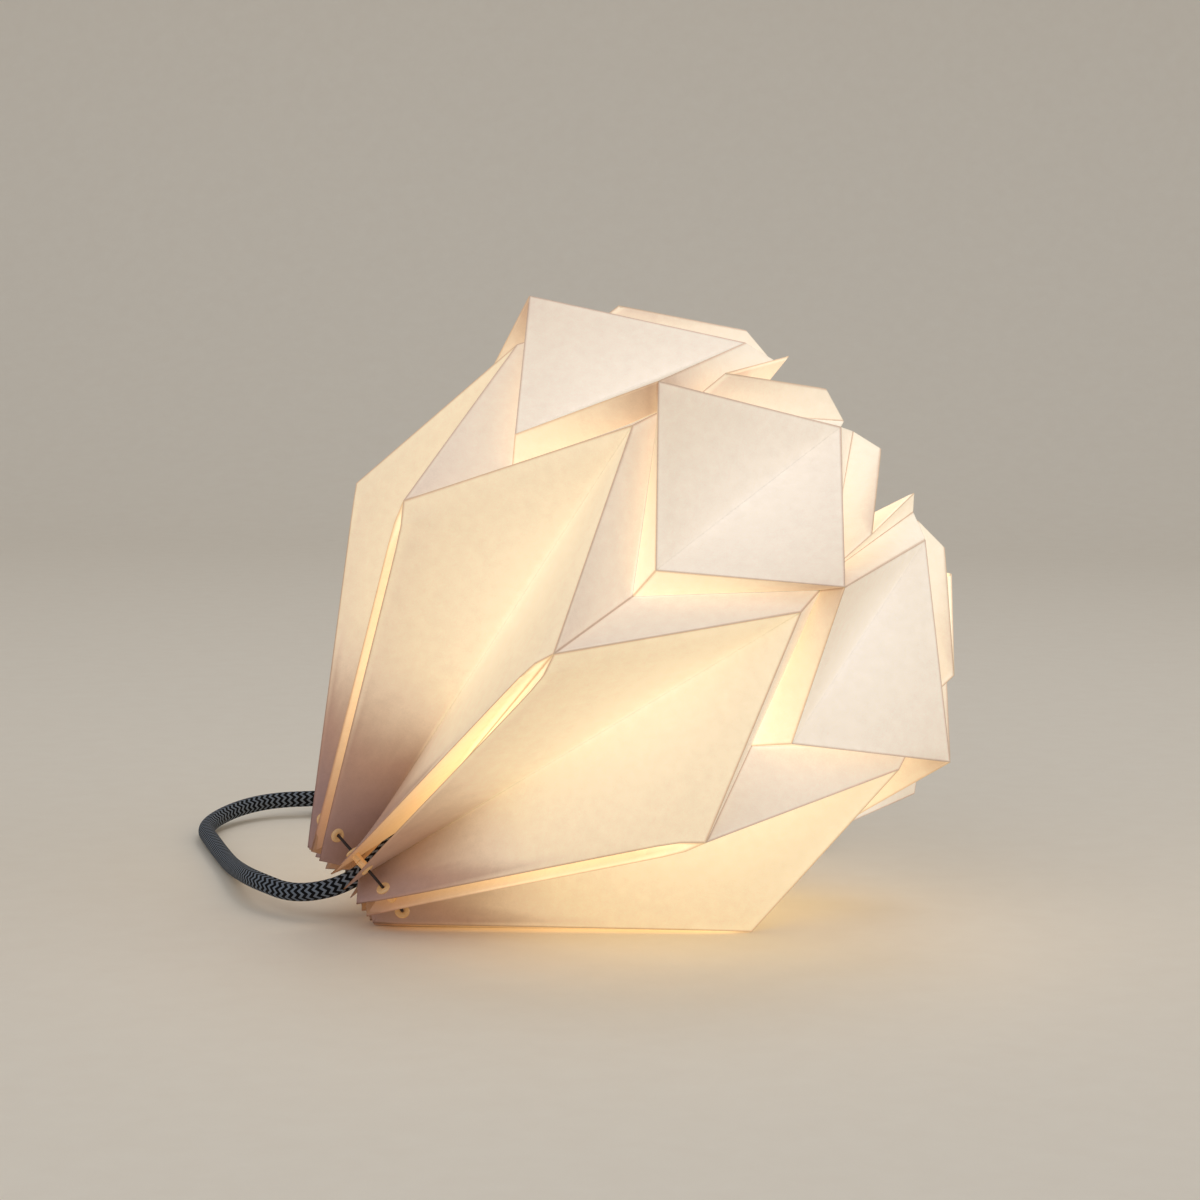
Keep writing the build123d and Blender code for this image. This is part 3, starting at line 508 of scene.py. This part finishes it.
def shade_piece():
    """The shade in place of its CAD solid. Returns a tree of the thin sheet in the lamp's axes."""
    bm = sheet_mesh()
    glow = sheet_light(bm)
    tree = BVHTree.FromBMesh(bm)
    for vert in bm.verts:
        vert.co = lay(vert.co)
    obj = mesh_piece("folded_paper_sheet", bm)
    layer = obj.data.attributes.new("glow", "FLOAT", "POINT")
    layer.data.foreach_set("value", [value * GLOW_SCALE for value in glow])
    outside = paper("paper_outside", rgb(150, 127, 132), rgb(214, 197, 196), 1.0)
    # The inside is a brighter, warmer copy of the paper: its colours and stronger glow paint the
    # bulb's light falling straight on it.
    inside = paper("paper_inside", rgb(170, 140, 120), rgb(222, 207, 190), 1.05)
    for material in (outside, inside):
        obj.data.materials.append(material)
    thicken = obj.modifiers.new("thickness", "SOLIDIFY")
    thicken.thickness = SHEET_T * MM
    thicken.offset = 0
    thicken.material_offset = 1
    thicken.material_offset_rim = 0
    apply_modifiers(obj)
    obj.data.set_sharp_from_angle(angle=math.radians(SHEET_SHARP))
    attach(obj, "lamp")
    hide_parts("paper_shade")
    return tree


SHEET_TREE = shade_piece()


# ------------------------------------------------------------------ plain materials
WEAR = 0.12
GLOSS_SPREAD = 0.22


def plain(name, colour, roughness, metallic=0.0, grain=400, grain_depth=0.00006, coat=0.0,
          emission=None, strength=0.0):
    """One moulded or turned stuff: mottled colour, varied gloss and a fine grain."""
    made = Nodes(name)
    broad = made.noise(grain * 0.12, 4, 0.55)
    fine = made.noise(grain * 3, 3, 0.6)
    darker = tuple(value * (1 - WEAR) for value in colour[:3]) + (1.0,)
    lighter = tuple(min(1.0, value * (1 + WEAR) + 0.004) for value in colour[:3]) + (1.0,)
    least = max(0.02, roughness - GLOSS_SPREAD / 2)
    inputs = {
        "Base_Color": made.mix(broad, darker, lighter),
        "Roughness": made.math("MULTIPLY_ADD", fine, GLOSS_SPREAD, least),
        "Metallic": metallic,
        "Coat_Weight": coat,
        "Normal": made.bump(fine, 0.35, grain_depth),
    }
    if emission is not None:
        inputs["Emission_Color"] = emission
        inputs["Emission_Strength"] = strength
    return made.surface(**inputs)


def clear_stuff(name, tint, through, roughness, glow=None):
    """Thin clear plastic or glass: mostly see-through, with its gloss."""
    made = Nodes(name)
    smear = made.noise(160, 3, 0.5)
    inputs = {
        "Base Color": tint,
        "Roughness": made.math("MULTIPLY_ADD", smear, 0.06, roughness),
        "Normal": made.bump(smear, 0.08, 0.0001),
    }
    if glow is not None:
        inputs["Emission Color"] = glow
        inputs["Emission Strength"] = 1.0
    gloss = made.add("ShaderNodeBsdfPrincipled", inputs)
    clear = made.add("ShaderNodeBsdfTransparent", {"Color": tint})
    mixed = made.add("ShaderNodeMixShader", {0: through})
    made.tree.links.new(gloss.outputs[0], mixed.inputs[1])
    made.tree.links.new(clear.outputs[0], mixed.inputs[2])
    made.tree.links.new(mixed.outputs[0], made.out.inputs["Surface"])
    return made.material


def stranded(name, colour, pitch):
    """Twisted string: fine slanting ridges, a pitch apart in metres."""
    made = Nodes(name)
    place = made.add("ShaderNodeTexCoord").outputs["Object"]
    inputs = {"Vector": place, "Scale": 1 / pitch, "Distortion": 2.0, "Detail": 2.0}
    wave = made.add("ShaderNodeTexWave", inputs, bands_direction="DIAGONAL").outputs["Fac"]
    # Painted shade: the grooves between the strands are darker.
    darker = tuple(value * 0.6 for value in colour[:3]) + (1.0,)
    return made.surface(
        Base_Color=made.mix(wave, darker, colour),
        Roughness=made.math("MULTIPLY_ADD", wave, 0.2, 0.6),
        Normal=made.bump(wave, 0.5, 0.0001),
    )


MATERIALS = {
    # Painted light: the eyelets' amber tint and glow stand for the lit paper's warm light seen in
    # the clear plastic.
    "clear_plastic": clear_stuff("clear_plastic", (0.88, 0.68, 0.42, 1), 0.50, 0.04,
                                 (0.20, 0.115, 0.038, 1)),
    "dark_string": stranded("dark_string", rgb(48, 36, 34), 0.006),
    "holder_black": plain("holder_black", rgb(28, 28, 30), 0.38, coat=0.1),
    "holder_white": plain("holder_white", rgb(232, 229, 220), 0.32, coat=0.2),
    "brass_plain": plain("brass_plain", rgb(206, 170, 98), 0.30, 1.0, 900),
    "screw_steel": plain("screw_steel", rgb(190, 190, 192), 0.32, 1.0, 900),
    "core_brown": plain("core_brown", rgb(96, 58, 38), 0.45),
    "core_blue": plain("core_blue", rgb(48, 84, 156), 0.45),
    "bulb_clear": clear_stuff("bulb_clear", (0.98, 0.97, 0.94, 1), 0.80, 0.03,
                              (0.30, 0.22, 0.11, 1)),
    "cap_metal": plain("cap_metal", rgb(200, 200, 198), 0.28, 1.0, 700),
    "black_glass": plain("black_glass", rgb(24, 22, 24), 0.12, coat=0.6),
    "stem_glass": clear_stuff("stem_glass", (0.95, 0.95, 0.92, 1), 0.55, 0.05),
    "filament_coat": plain("filament_coat", rgb(250, 205, 110), 0.5,
                           emission=(1.0, 0.66, 0.28, 1), strength=6.0),
    "wire_steel": plain("wire_steel", rgb(186, 184, 180), 0.34, 1.0, 900),
    "tie_rubber": plain("tie_rubber", rgb(38, 38, 42), 0.72, grain=900),
    "switch_black": plain("switch_black", rgb(30, 30, 33), 0.46, grain=700,
                          grain_depth=0.0001),
    "rocker_black": plain("rocker_black", rgb(36, 36, 39), 0.34, grain=500),
    "plug_black": plain("plug_black", rgb(31, 31, 34), 0.50, grain=700, grain_depth=0.0001),
    "pin_metal": plain("pin_metal", rgb(204, 203, 200), 0.24, 1.0, 600),
    "sleeve_black": plain("sleeve_black", rgb(26, 26, 28), 0.5),
}


def own_piece(obj, slot, *nodes):
    """A piece of the scene's own that rides on the lamp and stands for CAD nodes, if any."""
    obj.data.materials.append(MATERIALS[slot])
    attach(obj, "lamp")
    if nodes:
        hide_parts(*nodes)
    return obj


def dress_nodes():
    """The nodes of the frame get the materials of their own slots."""
    for entry in frame["record"]["subparts"]:
        obj = frame["nodes"][entry["node"]]
        slot = entry["material_slot"]
        if slot in MATERIALS:
            for index in range(len(obj.material_slots)):
                obj.material_slots[index].link = "OBJECT"
                obj.material_slots[index].material = MATERIALS[slot]


# ------------------------------------------------------------------ turned pieces
LATHE_STEPS = 40


def lathe(bm, outline, place):
    """Turns a closed outline of (radius, height) points about its height, and puts it in place."""
    side = [Vector((radius, 0, height)) for radius, height in outline]
    rings = []
    for index in range(LATHE_STEPS):
        turn = Matrix.Rotation(2 * math.pi * index / LATHE_STEPS, 3, "Z")
        rings.append([bm.verts.new(turn @ point) for point in side])
    faces = []
    for index, ring in enumerate(rings):
        following = rings[(index + 1) % LATHE_STEPS]
        for low in range(len(outline)):
            high = (low + 1) % len(outline)
            faces.append(bm.faces.new((ring[low], following[low], following[high], ring[high])))
    bmesh.ops.recalc_face_normals(bm, faces=faces)
    for ring in rings:
        for vert in ring:
            vert.co = place @ vert.co


def aim(origin, along):
    """A matrix that lays the height of a turned piece along a direction."""
    return Matrix.Translation(origin) @ along.to_track_quat("Z", "Y").to_matrix().to_4x4()


def turned_piece(name, outline, origin, along, sharp):
    """A turned piece in the frame, from sizes in millimetres."""
    bm = bmesh.new()
    lathe(bm, outline, Matrix.Scale(MM, 4) @ aim(origin, along))
    return mesh_piece(name, bm, sharp)


# ------------------------------------------------------------------ eyelets
EYELET_RING_R = 22.6
EYELET_Z = -184.0
EYELET_REACH = 12.0
EYELET_SHANK_R = 1.6
EYELET_BORE_R = 0.9
EYELET_SEAT = 0.75  # from the middle of the paper to the underside of the eyelet's head
EYELET_SHARP = 50
EYELET_HEAD = [
    (EYELET_BORE_R, 0.95),
    (1.1, 1.18),
    (1.8, 1.2),
    (2.4, 1.06),
    (2.78, 0.78),
    (2.9, 0.42),
    (2.75, 0.12),
    (2.4, 0.0),
    (1.9, 0.0),
    (EYELET_SHANK_R, -0.3),
]


def paper_beside_rib(index, side):
    """Where an eyelet's line comes out of the sheet beside a rib, and the normal there."""
    rib = (index + 0.5) * 2 * HALF
    middle = polar(EYELET_RING_R, EYELET_Z, rib)
    across = polar(1, 0, rib + side * 90)
    hit, normal, _, _ = SHEET_TREE.ray_cast(middle, across, EYELET_REACH)
    if normal.dot(across) < 0:
        normal = -normal
    return hit, normal


def eyelet_piece():
    """Two halves of a spool through each rib, each square to its own side of the rib."""
    bm = bmesh.new()
    for index in range(MODULES):
        ends = [paper_beside_rib(index, side) for side in (1, -1)]
        centre = (ends[0][0] + ends[1][0]) / 2
        for hit, normal in ends:
            seat = hit + normal * EYELET_SEAT
            root = -(seat - centre).length
            shank = [(EYELET_SHANK_R, root), (EYELET_BORE_R, root)]
            lathe(bm, EYELET_HEAD + shank, aim(seat, normal))
    for vert in bm.verts:
        vert.co = lay(vert.co)
    own_piece(mesh_piece("clear_eyelets", bm, EYELET_SHARP), "clear_plastic", "rib_eyelets")


# ------------------------------------------------------------------ flex
FLEX_R = 3.5
FLEX_END_Z = -149.8
FLEX_STEP = 0.9
LEAD_POINTS = [
    (-86.9, 0.0, 35.3),
    (-105.2, 1.3, 16.2),
    (-125.5, 14.5, 8.9),
    (-137.4, 37.8, 10.6),
    (-138.9, 68.0, 7.6),
    (-138.5, 101.9, 4.2),
    (-138.8, 139.5, 4.2),
    (-138.7, 184.0, 4.2),
    (-109.4, 217.0, 8.0),
    (-72.0, 217.0, 8.0),
]
RUN_POINTS = [
    (-24.0, 217.0, 8.0),
    (-11.4, 217.0, 8.0),
    (3.9, 217.0, 3.5),
    (21.0, 217.0, 3.5),
]
COIL_AT = (28.0, 217.0, 3.5)
COIL_R = 47.0
COIL_STEP = 7.6
COIL_INSETS = [0, 0, 1, 1, 2, 2, 3, 1, 0.5, 0, -0.5]  # in steps, at the ends of the half turns
COIL_CLIMB_AFTER = 5
COIL_POINTS_PER_HALF = 12
TAIL_POINTS = [
    (35.0, 220.8, 11.1),
    (53.0, 220.8, 11.1),
    (84.0, 209.0, 9.0),
    (102.0, 186.0, 6.85),
    (102.0, 157.0, 6.85),
]


def coil_points():
    """Half turns of even steps, in, up one layer and out again."""
    points = []
    across, here, height = COIL_AT
    heading = 1
    for index, (before, after) in enumerate(zip(COIL_INSETS, COIL_INSETS[1:])):
        radius = COIL_R - COIL_STEP * (before + after) / 2
        climb = COIL_STEP if index == COIL_CLIMB_AFTER else 0.0
        middle = here - heading * radius
        for step in range(COIL_POINTS_PER_HALF):
            turn = math.pi * (step + 0.5) / COIL_POINTS_PER_HALF
            points.append((
                across + heading * radius * math.sin(turn),
                middle + heading * radius * math.cos(turn),
                height + climb * (1 - math.cos(turn)) / 2,
            ))
        here -= 2 * heading * radius
        height += climb
        heading = -heading
    return points


def flex_route():
    """The flex's route from the lampholder to the plug: the control points of its spline."""
    start = lay((0, 0, FLEX_END_Z)) / MM
    return [tuple(start)] + LEAD_POINTS + RUN_POINTS + coil_points() + TAIL_POINTS


def smooth_line(points):
    """Closely spaced points of the smooth spline that a route controls, in metres."""
    curve = bpy.data.curves.new("route", "CURVE")
    curve.dimensions = "3D"
    curve.resolution_u = 24
    spline = curve.splines.new("NURBS")
    spline.points.add(len(points) - 1)
    for point, co in zip(spline.points, points):
        point.co = tuple(value * MM for value in co) + (1.0,)
    spline.order_u = 3
    spline.use_endpoint_u = True
    obj = bpy.data.objects.new("route", curve)
    bpy.context.scene.collection.objects.link(obj)
    mesh = bpy.data.meshes.new_from_object(obj)
    line = [vert.co.copy() for vert in mesh.vertices]
    bpy.data.objects.remove(obj)
    bpy.data.curves.remove(curve)
    bpy.data.meshes.remove(mesh)
    return line


def even_steps(line, step):
    """The same line with points a fixed distance apart."""
    even = [line[0]]
    spare = 0.0
    for start, end in zip(line, line[1:]):
        length = (end - start).length
        while spare + length >= step:
            start = start.lerp(end, (step - spare) / length)
            length = (end - start).length
            spare = 0.0
            even.append(start)
        spare += length
    if (even[-1] - line[-1]).length > step / 4:
        even.append(line[-1])
    return even


BRAID_PITCH = 3.1  # along the flex, in millimetres
BRAID_WAVES = 8  # round the flex
BRAID_SLANT = 1.1
BRAID_PALE = (0.26, 0.31)
BRAID_SIDES = 32


def braided_tube(name, line, radius):
    """A tube whose surface map runs round it once and along it by the braid's pitch."""
    bm = bmesh.new()
    surface = bm.loops.layers.uv.new("braid")
    heading = (line[1] - line[0]).normalized()
    side = heading.orthogonal().normalized()
    rings = []
    for index, point in enumerate(line):
        after = line[min(index + 1, len(line) - 1)]
        before = line[max(index - 1, 0)]
        following = (after - before).normalized()
        side = heading.rotation_difference(following) @ side
        heading = following
        ring = []
        for step in range(BRAID_SIDES):
            turn = Matrix.Rotation(2 * math.pi * step / BRAID_SIDES, 3, heading)
            ring.append(bm.verts.new(point + turn @ side * radius))
        rings.append(ring)
    pace = (line[1] - line[0]).length / (BRAID_PITCH * MM)
    for index, (low, high) in enumerate(zip(rings, rings[1:])):
        for step in range(BRAID_SIDES):
            other = (step + 1) % BRAID_SIDES
            face = bm.faces.new((low[step], low[other], high[other], high[step]))
            places = ((step, index), (step + 1, index), (step + 1, index + 1), (step, index + 1))
            for loop, (around, along) in zip(face.loops, places):
                loop[surface].uv = (around / BRAID_SIDES, along * pace)
    bm.faces.new(rings[0][::-1])
    bm.faces.new(rings[-1])
    return mesh_piece(name, bm)


def braid_material():
    """Textile braid: chevrons of dark and grey-blue yarn."""
    made = Nodes("flex_braid")
    around, along, _ = made.apart(made.add("ShaderNodeUVMap", uv_map="braid").outputs["UV"])
    zigzag = made.math("PINGPONG", made.math("MULTIPLY", around, BRAID_WAVES), 0.5)
    slanted = made.math("MULTIPLY_ADD", zigzag, BRAID_SLANT, along)
    off_middle = made.math("ABSOLUTE", made.math("SUBTRACT", made.math("FRACT", slanted), 0.5))
    pale = made.between(off_middle, *BRAID_PALE)
    yarn = made.math("PINGPONG", made.math("MULTIPLY", slanted, 4.0), 0.5)
    cross = made.math("PINGPONG", made.math("MULTIPLY", around, BRAID_WAVES * 6.0), 0.5)
    yarn = made.math("MULTIPLY_ADD", yarn, 1.2, 0.4)
    cross = made.math("MULTIPLY_ADD", cross, 0.8, 0.6)
    thread = made.math("MULTIPLY", yarn, cross)
    fuzz = made.noise(2600, 2, 0.6)
    light = made.mix(fuzz, rgb(92, 103, 118), rgb(140, 148, 160))
    dark = made.mix(fuzz, rgb(5, 5, 7), rgb(12, 12, 15))
    shade = made.math("MULTIPLY_ADD", thread, 0.35, 0.72, clamp=True)
    relief = made.math("ADD", made.math("MULTIPLY", zigzag, 0.8), thread)
    return made.surface(
        Base_Color=made.times(made.mix(pale, dark, light), shade),
        Roughness=made.math("MULTIPLY_ADD", fuzz, 0.2, 0.62),
        Specular_IOR_Level=0.12,
        Normal=made.bump(relief, 0.6, 0.0002),
    )


def flex_piece():
    line = even_steps(smooth_line(flex_route()), FLEX_STEP * MM)
    obj = braided_tube("textile_flex", line, FLEX_R * MM)
    obj.data.materials.append(braid_material())
    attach(obj, "lamp")
    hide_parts("flex_lead", "flex_run", "flex_coil", "flex_tail")
    on_it = [frame["nodes"][name] for name in (
        "coil_tie", "switch_base", "switch_rocker", "rocker_pin", "switch_screws",
        "switch_contacts", "plug_pins", "pin_sleeves")]
    on_it += [switch_cover_piece()] + switch_collars() + plug_pieces()


# ------------------------------------------------------------------ switch and plug
SWITCH_AT = Vector((-48.0, 217.0, 0.0))
SWITCH_HALF = (30.0, 13.0)
SWITCH_SPLIT = 9.0
SWITCH_H = 18.0
SWITCH_WALL = 2.0
SWITCH_ROUND = 4.0
SWITCH_EDGE_R = 2.4
SPLIT_CHAMFER = 0.35
WINDOW_HALF = (11.9, 5.4)
WINDOW_ROUND = 1.2
WINDOW_CHAMFER = 0.5
FLEX_AXIS_Z = 8.0
FLEX_HOLE_R = FLEX_R + 0.05
LOFT_SHARP = 35
COLLAR_SHARP = 50
RELIEF_SHARP = 30
COLLAR_OUTLINE = [
    (FLEX_HOLE_R, 0.0),
    (5.6, 0.0),
    (5.5, 1.6),
    (5.0, 2.2),
    (4.9, 4.2),
    (4.5, 4.8),
    (3.9, 5.0),
    (FLEX_HOLE_R, 5.0),
]
PLUG_AT = Vector((102.0, 135.0, 6.85))
PLUG_OUTLINE = [(8.0, 0.0), (-8.0, 0.0), (-17.5, -15.6), (-17.5, -26.0), (17.5, -26.0),
                (17.5, -15.6)]
PLUG_HALF_T = 6.85
PLUG_ROUND = 2.6
PLUG_EDGE_R = 2.4
RELIEF_L = 22.0
RELIEF_R = 5.6
RELIEF_TAPER = 1.3
RELIEF_PLAIN_END = 1.0
RELIEF_RIBS = 6
# One rib and its groove: shares of their pitch, and how deep each lies.
RIB_PROFILE = ((0.05, 0.0), (0.55, 0.0), (0.65, 0.7), (0.95, 0.7))


def rounded_outline(corners, radius, inset, steps=6):
    """The outline of a convex shape with rounded corners, drawn inset from its full size."""
    points = []
    count = len(corners)
    for index, here in enumerate(corners):
        here = Vector(here)
        before = (here - Vector(corners[index - 1])).normalized()
        after = (Vector(corners[(index + 1) % count]) - here).normalized()
        half = math.acos(max(-1.0, min(1.0, before.dot(after)))) / 2
        inward = (after - before).normalized()
        centre = here + inward * (radius / math.cos(half))
        for step in range(steps + 1):
            turn = (step / steps - 0.5) * 2 * half
            points.append(centre + Matrix.Rotation(turn, 2) @ -inward * (radius - inset))
    return points


def rectangle(half):
    return [(half[0], half[1]), (-half[0], half[1]), (-half[0], -half[1]), (half[0], -half[1])]


def loft(name, rings, origin, caps):
    """A skin over rings of points, each ring at its own height, with closed ends if asked."""
    bm = bmesh.new()
    made = [[bm.verts.new((origin + Vector((point.x, point.y, height))) * MM) for point in ring]
            for ring, height in rings]
    for low, high in zip(made, made[1:]):
        for index in range(len(low)):
            following = (index + 1) % len(low)
            bm.faces.new((low[index], low[following], high[following], high[index]))
    if caps:
        bm.faces.new(made[0][::-1])
        bm.faces.new(made[-1])
    bmesh.ops.recalc_face_normals(bm, faces=bm.faces)
    return mesh_piece(name, bm, LOFT_SHARP)


def edge_curve(top, radius, steps=6):
    """Heights and insets of a rounded upper edge."""
    turns = [math.pi / 2 * step / steps for step in range(steps + 1)]
    low = top - radius
    return [(low + radius * math.sin(turn), radius * (1 - math.cos(turn))) for turn in turns]


def switch_cover_piece():
    """The upper half of the switch: a hollow rounded lid with a chamfered window."""
    outer = rectangle(SWITCH_HALF)
    window = rectangle(WINDOW_HALF)
    wide = rectangle([half + WINDOW_CHAMFER for half in WINDOW_HALF])
    rings = [
        (rounded_outline(outer, SWITCH_ROUND, SWITCH_WALL), SWITCH_SPLIT),
        (rounded_outline(outer, SWITCH_ROUND, SPLIT_CHAMFER), SWITCH_SPLIT),
        (rounded_outline(outer, SWITCH_ROUND, 0.0), SWITCH_SPLIT + SPLIT_CHAMFER),
    ]
    for height, inset in edge_curve(SWITCH_H, SWITCH_EDGE_R):
        rings.append((rounded_outline(outer, SWITCH_ROUND, inset), height))
    rings += [
        (rounded_outline(wide, WINDOW_ROUND + WINDOW_CHAMFER, 0.0), SWITCH_H),
        (rounded_outline(window, WINDOW_ROUND, 0.0), SWITCH_H - WINDOW_CHAMFER),
        (rounded_outline(window, WINDOW_ROUND, 0.0), SWITCH_H - SWITCH_WALL),
    ]
    obj = loft("switch_cover_moulded", rings, SWITCH_AT, False)
    return own_piece(obj, "switch_black", "switch_cover")


def switch_collars():
    """A short tapered collar where the flex goes in at each end."""
    collars = []
    for name, side in (("switch_collar_in", -1), ("switch_collar_out", 1)):
        start = SWITCH_AT + Vector((side * (SWITCH_HALF[0] - 1.0), 0, FLEX_AXIS_Z))
        obj = turned_piece(name, COLLAR_OUTLINE, start, Vector((side, 0, 0)), COLLAR_SHARP)
        collars.append(own_piece(obj, "switch_black"))
    return collars


def plug_pieces():
    """The plug's moulded body, and the tapered, grooved strain relief behind it."""
    upper = edge_curve(PLUG_HALF_T, PLUG_EDGE_R)
    lower = [(-height, inset) for height, inset in reversed(upper)]
    rings = [(rounded_outline(PLUG_OUTLINE, PLUG_ROUND, inset), height)
             for height, inset in lower + upper]
    body = loft("plug_body_moulded", rings, PLUG_AT, True)
    own_piece(body, "plug_black", "plug_body")
    outline = [(FLEX_HOLE_R, 0.0), (RELIEF_R, 0.0)]
    pitch = (RELIEF_L - 2 * RELIEF_PLAIN_END) / RELIEF_RIBS
    for rib in range(RELIEF_RIBS):
        for share, depth in RIB_PROFILE:
            height = RELIEF_PLAIN_END + (rib + share) * pitch
            outline.append((RELIEF_R - height / RELIEF_L * RELIEF_TAPER - depth, height))
    outline += [(4.2, RELIEF_L - 0.6), (3.9, RELIEF_L), (FLEX_HOLE_R, RELIEF_L)]
    relief = turned_piece("plug_relief_ribbed", outline, PLUG_AT, Vector((0, 1, 0)), RELIEF_SHARP)
    return [body, own_piece(relief, "plug_black", "plug_relief")]


# ------------------------------------------------------------------ floor, backdrop and lamps
FLOOR_REACH_M = 10.0
WALL_AT_M = 2.4
WALL_BEND_M = 0.9
WALL_TOP_M = 4.0
WALL_STEPS = 16
WORLD_COLOUR = (0.96, 0.98, 1.0, 1)
WORLD_STRENGTH = 0.44
# Each lamp's place and the point that it looks at, its width in metres, and its power in watts.
LAMPS = {
    "key": ((-1.2, -1.3, 1.5), (0, 0, 0.1), 1.4, 7.0),
    "fill": ((1.5, -1.2, 0.9), (0, 0, 0.1), 1.4, 3.5),
    "back": ((0.4, 0.5, 1.6), (0, 0.1, 0.1), 0.8, 3.5),
}


def stage_piece():
    """A pale floor that curves up into a wall behind."""
    profile = [(-FLOOR_REACH_M, 0.0)]
    for step in range(WALL_STEPS + 1):
        turn = math.pi / 2 * step / WALL_STEPS
        profile.append((
            WALL_AT_M - WALL_BEND_M + WALL_BEND_M * math.sin(turn),
            WALL_BEND_M - WALL_BEND_M * math.cos(turn),
        ))
    profile.append((WALL_AT_M, WALL_TOP_M))
    across = Vector((RIGHT.x, RIGHT.y, 0)).normalized()
    away = Vector((-across.y, across.x, 0))
    bm = bmesh.new()
    rows = []
    for distance, height in profile:
        middle = away * distance + Vector((0, 0, height))
        rows.append([bm.verts.new(across * x + middle) for x in (-FLOOR_REACH_M, FLOOR_REACH_M)])
    for low, high in zip(rows, rows[1:]):
        bm.faces.new((low[0], low[1], high[1], high[0]))
    obj = mesh_piece("floor_and_wall", bm)
    made = Nodes("pale_wall")
    plaster = made.noise(70, 4, 0.6)
    obj.data.materials.append(made.surface(
        Base_Color=made.mix(plaster, rgb(236, 226, 212), rgb(241, 233, 220)),
        Roughness=0.8,
        Specular_IOR_Level=0.2,
        Normal=made.bump(plaster, 0.25, 0.001),
    ))


def soft_lamp(name, place, target, size, power):
    data = bpy.data.lights.new(name, "AREA")
    data.shape = "SQUARE"
    data.size = size
    data.energy = power
    away = Vector(place) - Vector(target)
    link(name, data).matrix_world = aim(Vector(place), away)


def studio():
    world = bpy.data.worlds.new("studio")
    world.use_nodes = True
    background = world.node_tree.nodes["Background"]
    background.inputs["Color"].default_value = WORLD_COLOUR
    background.inputs["Strength"].default_value = WORLD_STRENGTH
    bpy.context.scene.world = world
    for name, setting in LAMPS.items():
        soft_lamp(name, *setting)
    bpy.context.scene.view_settings.view_transform = "Standard"


dress_nodes()
eyelet_piece()
flex_piece()
stage_piece()
studio()
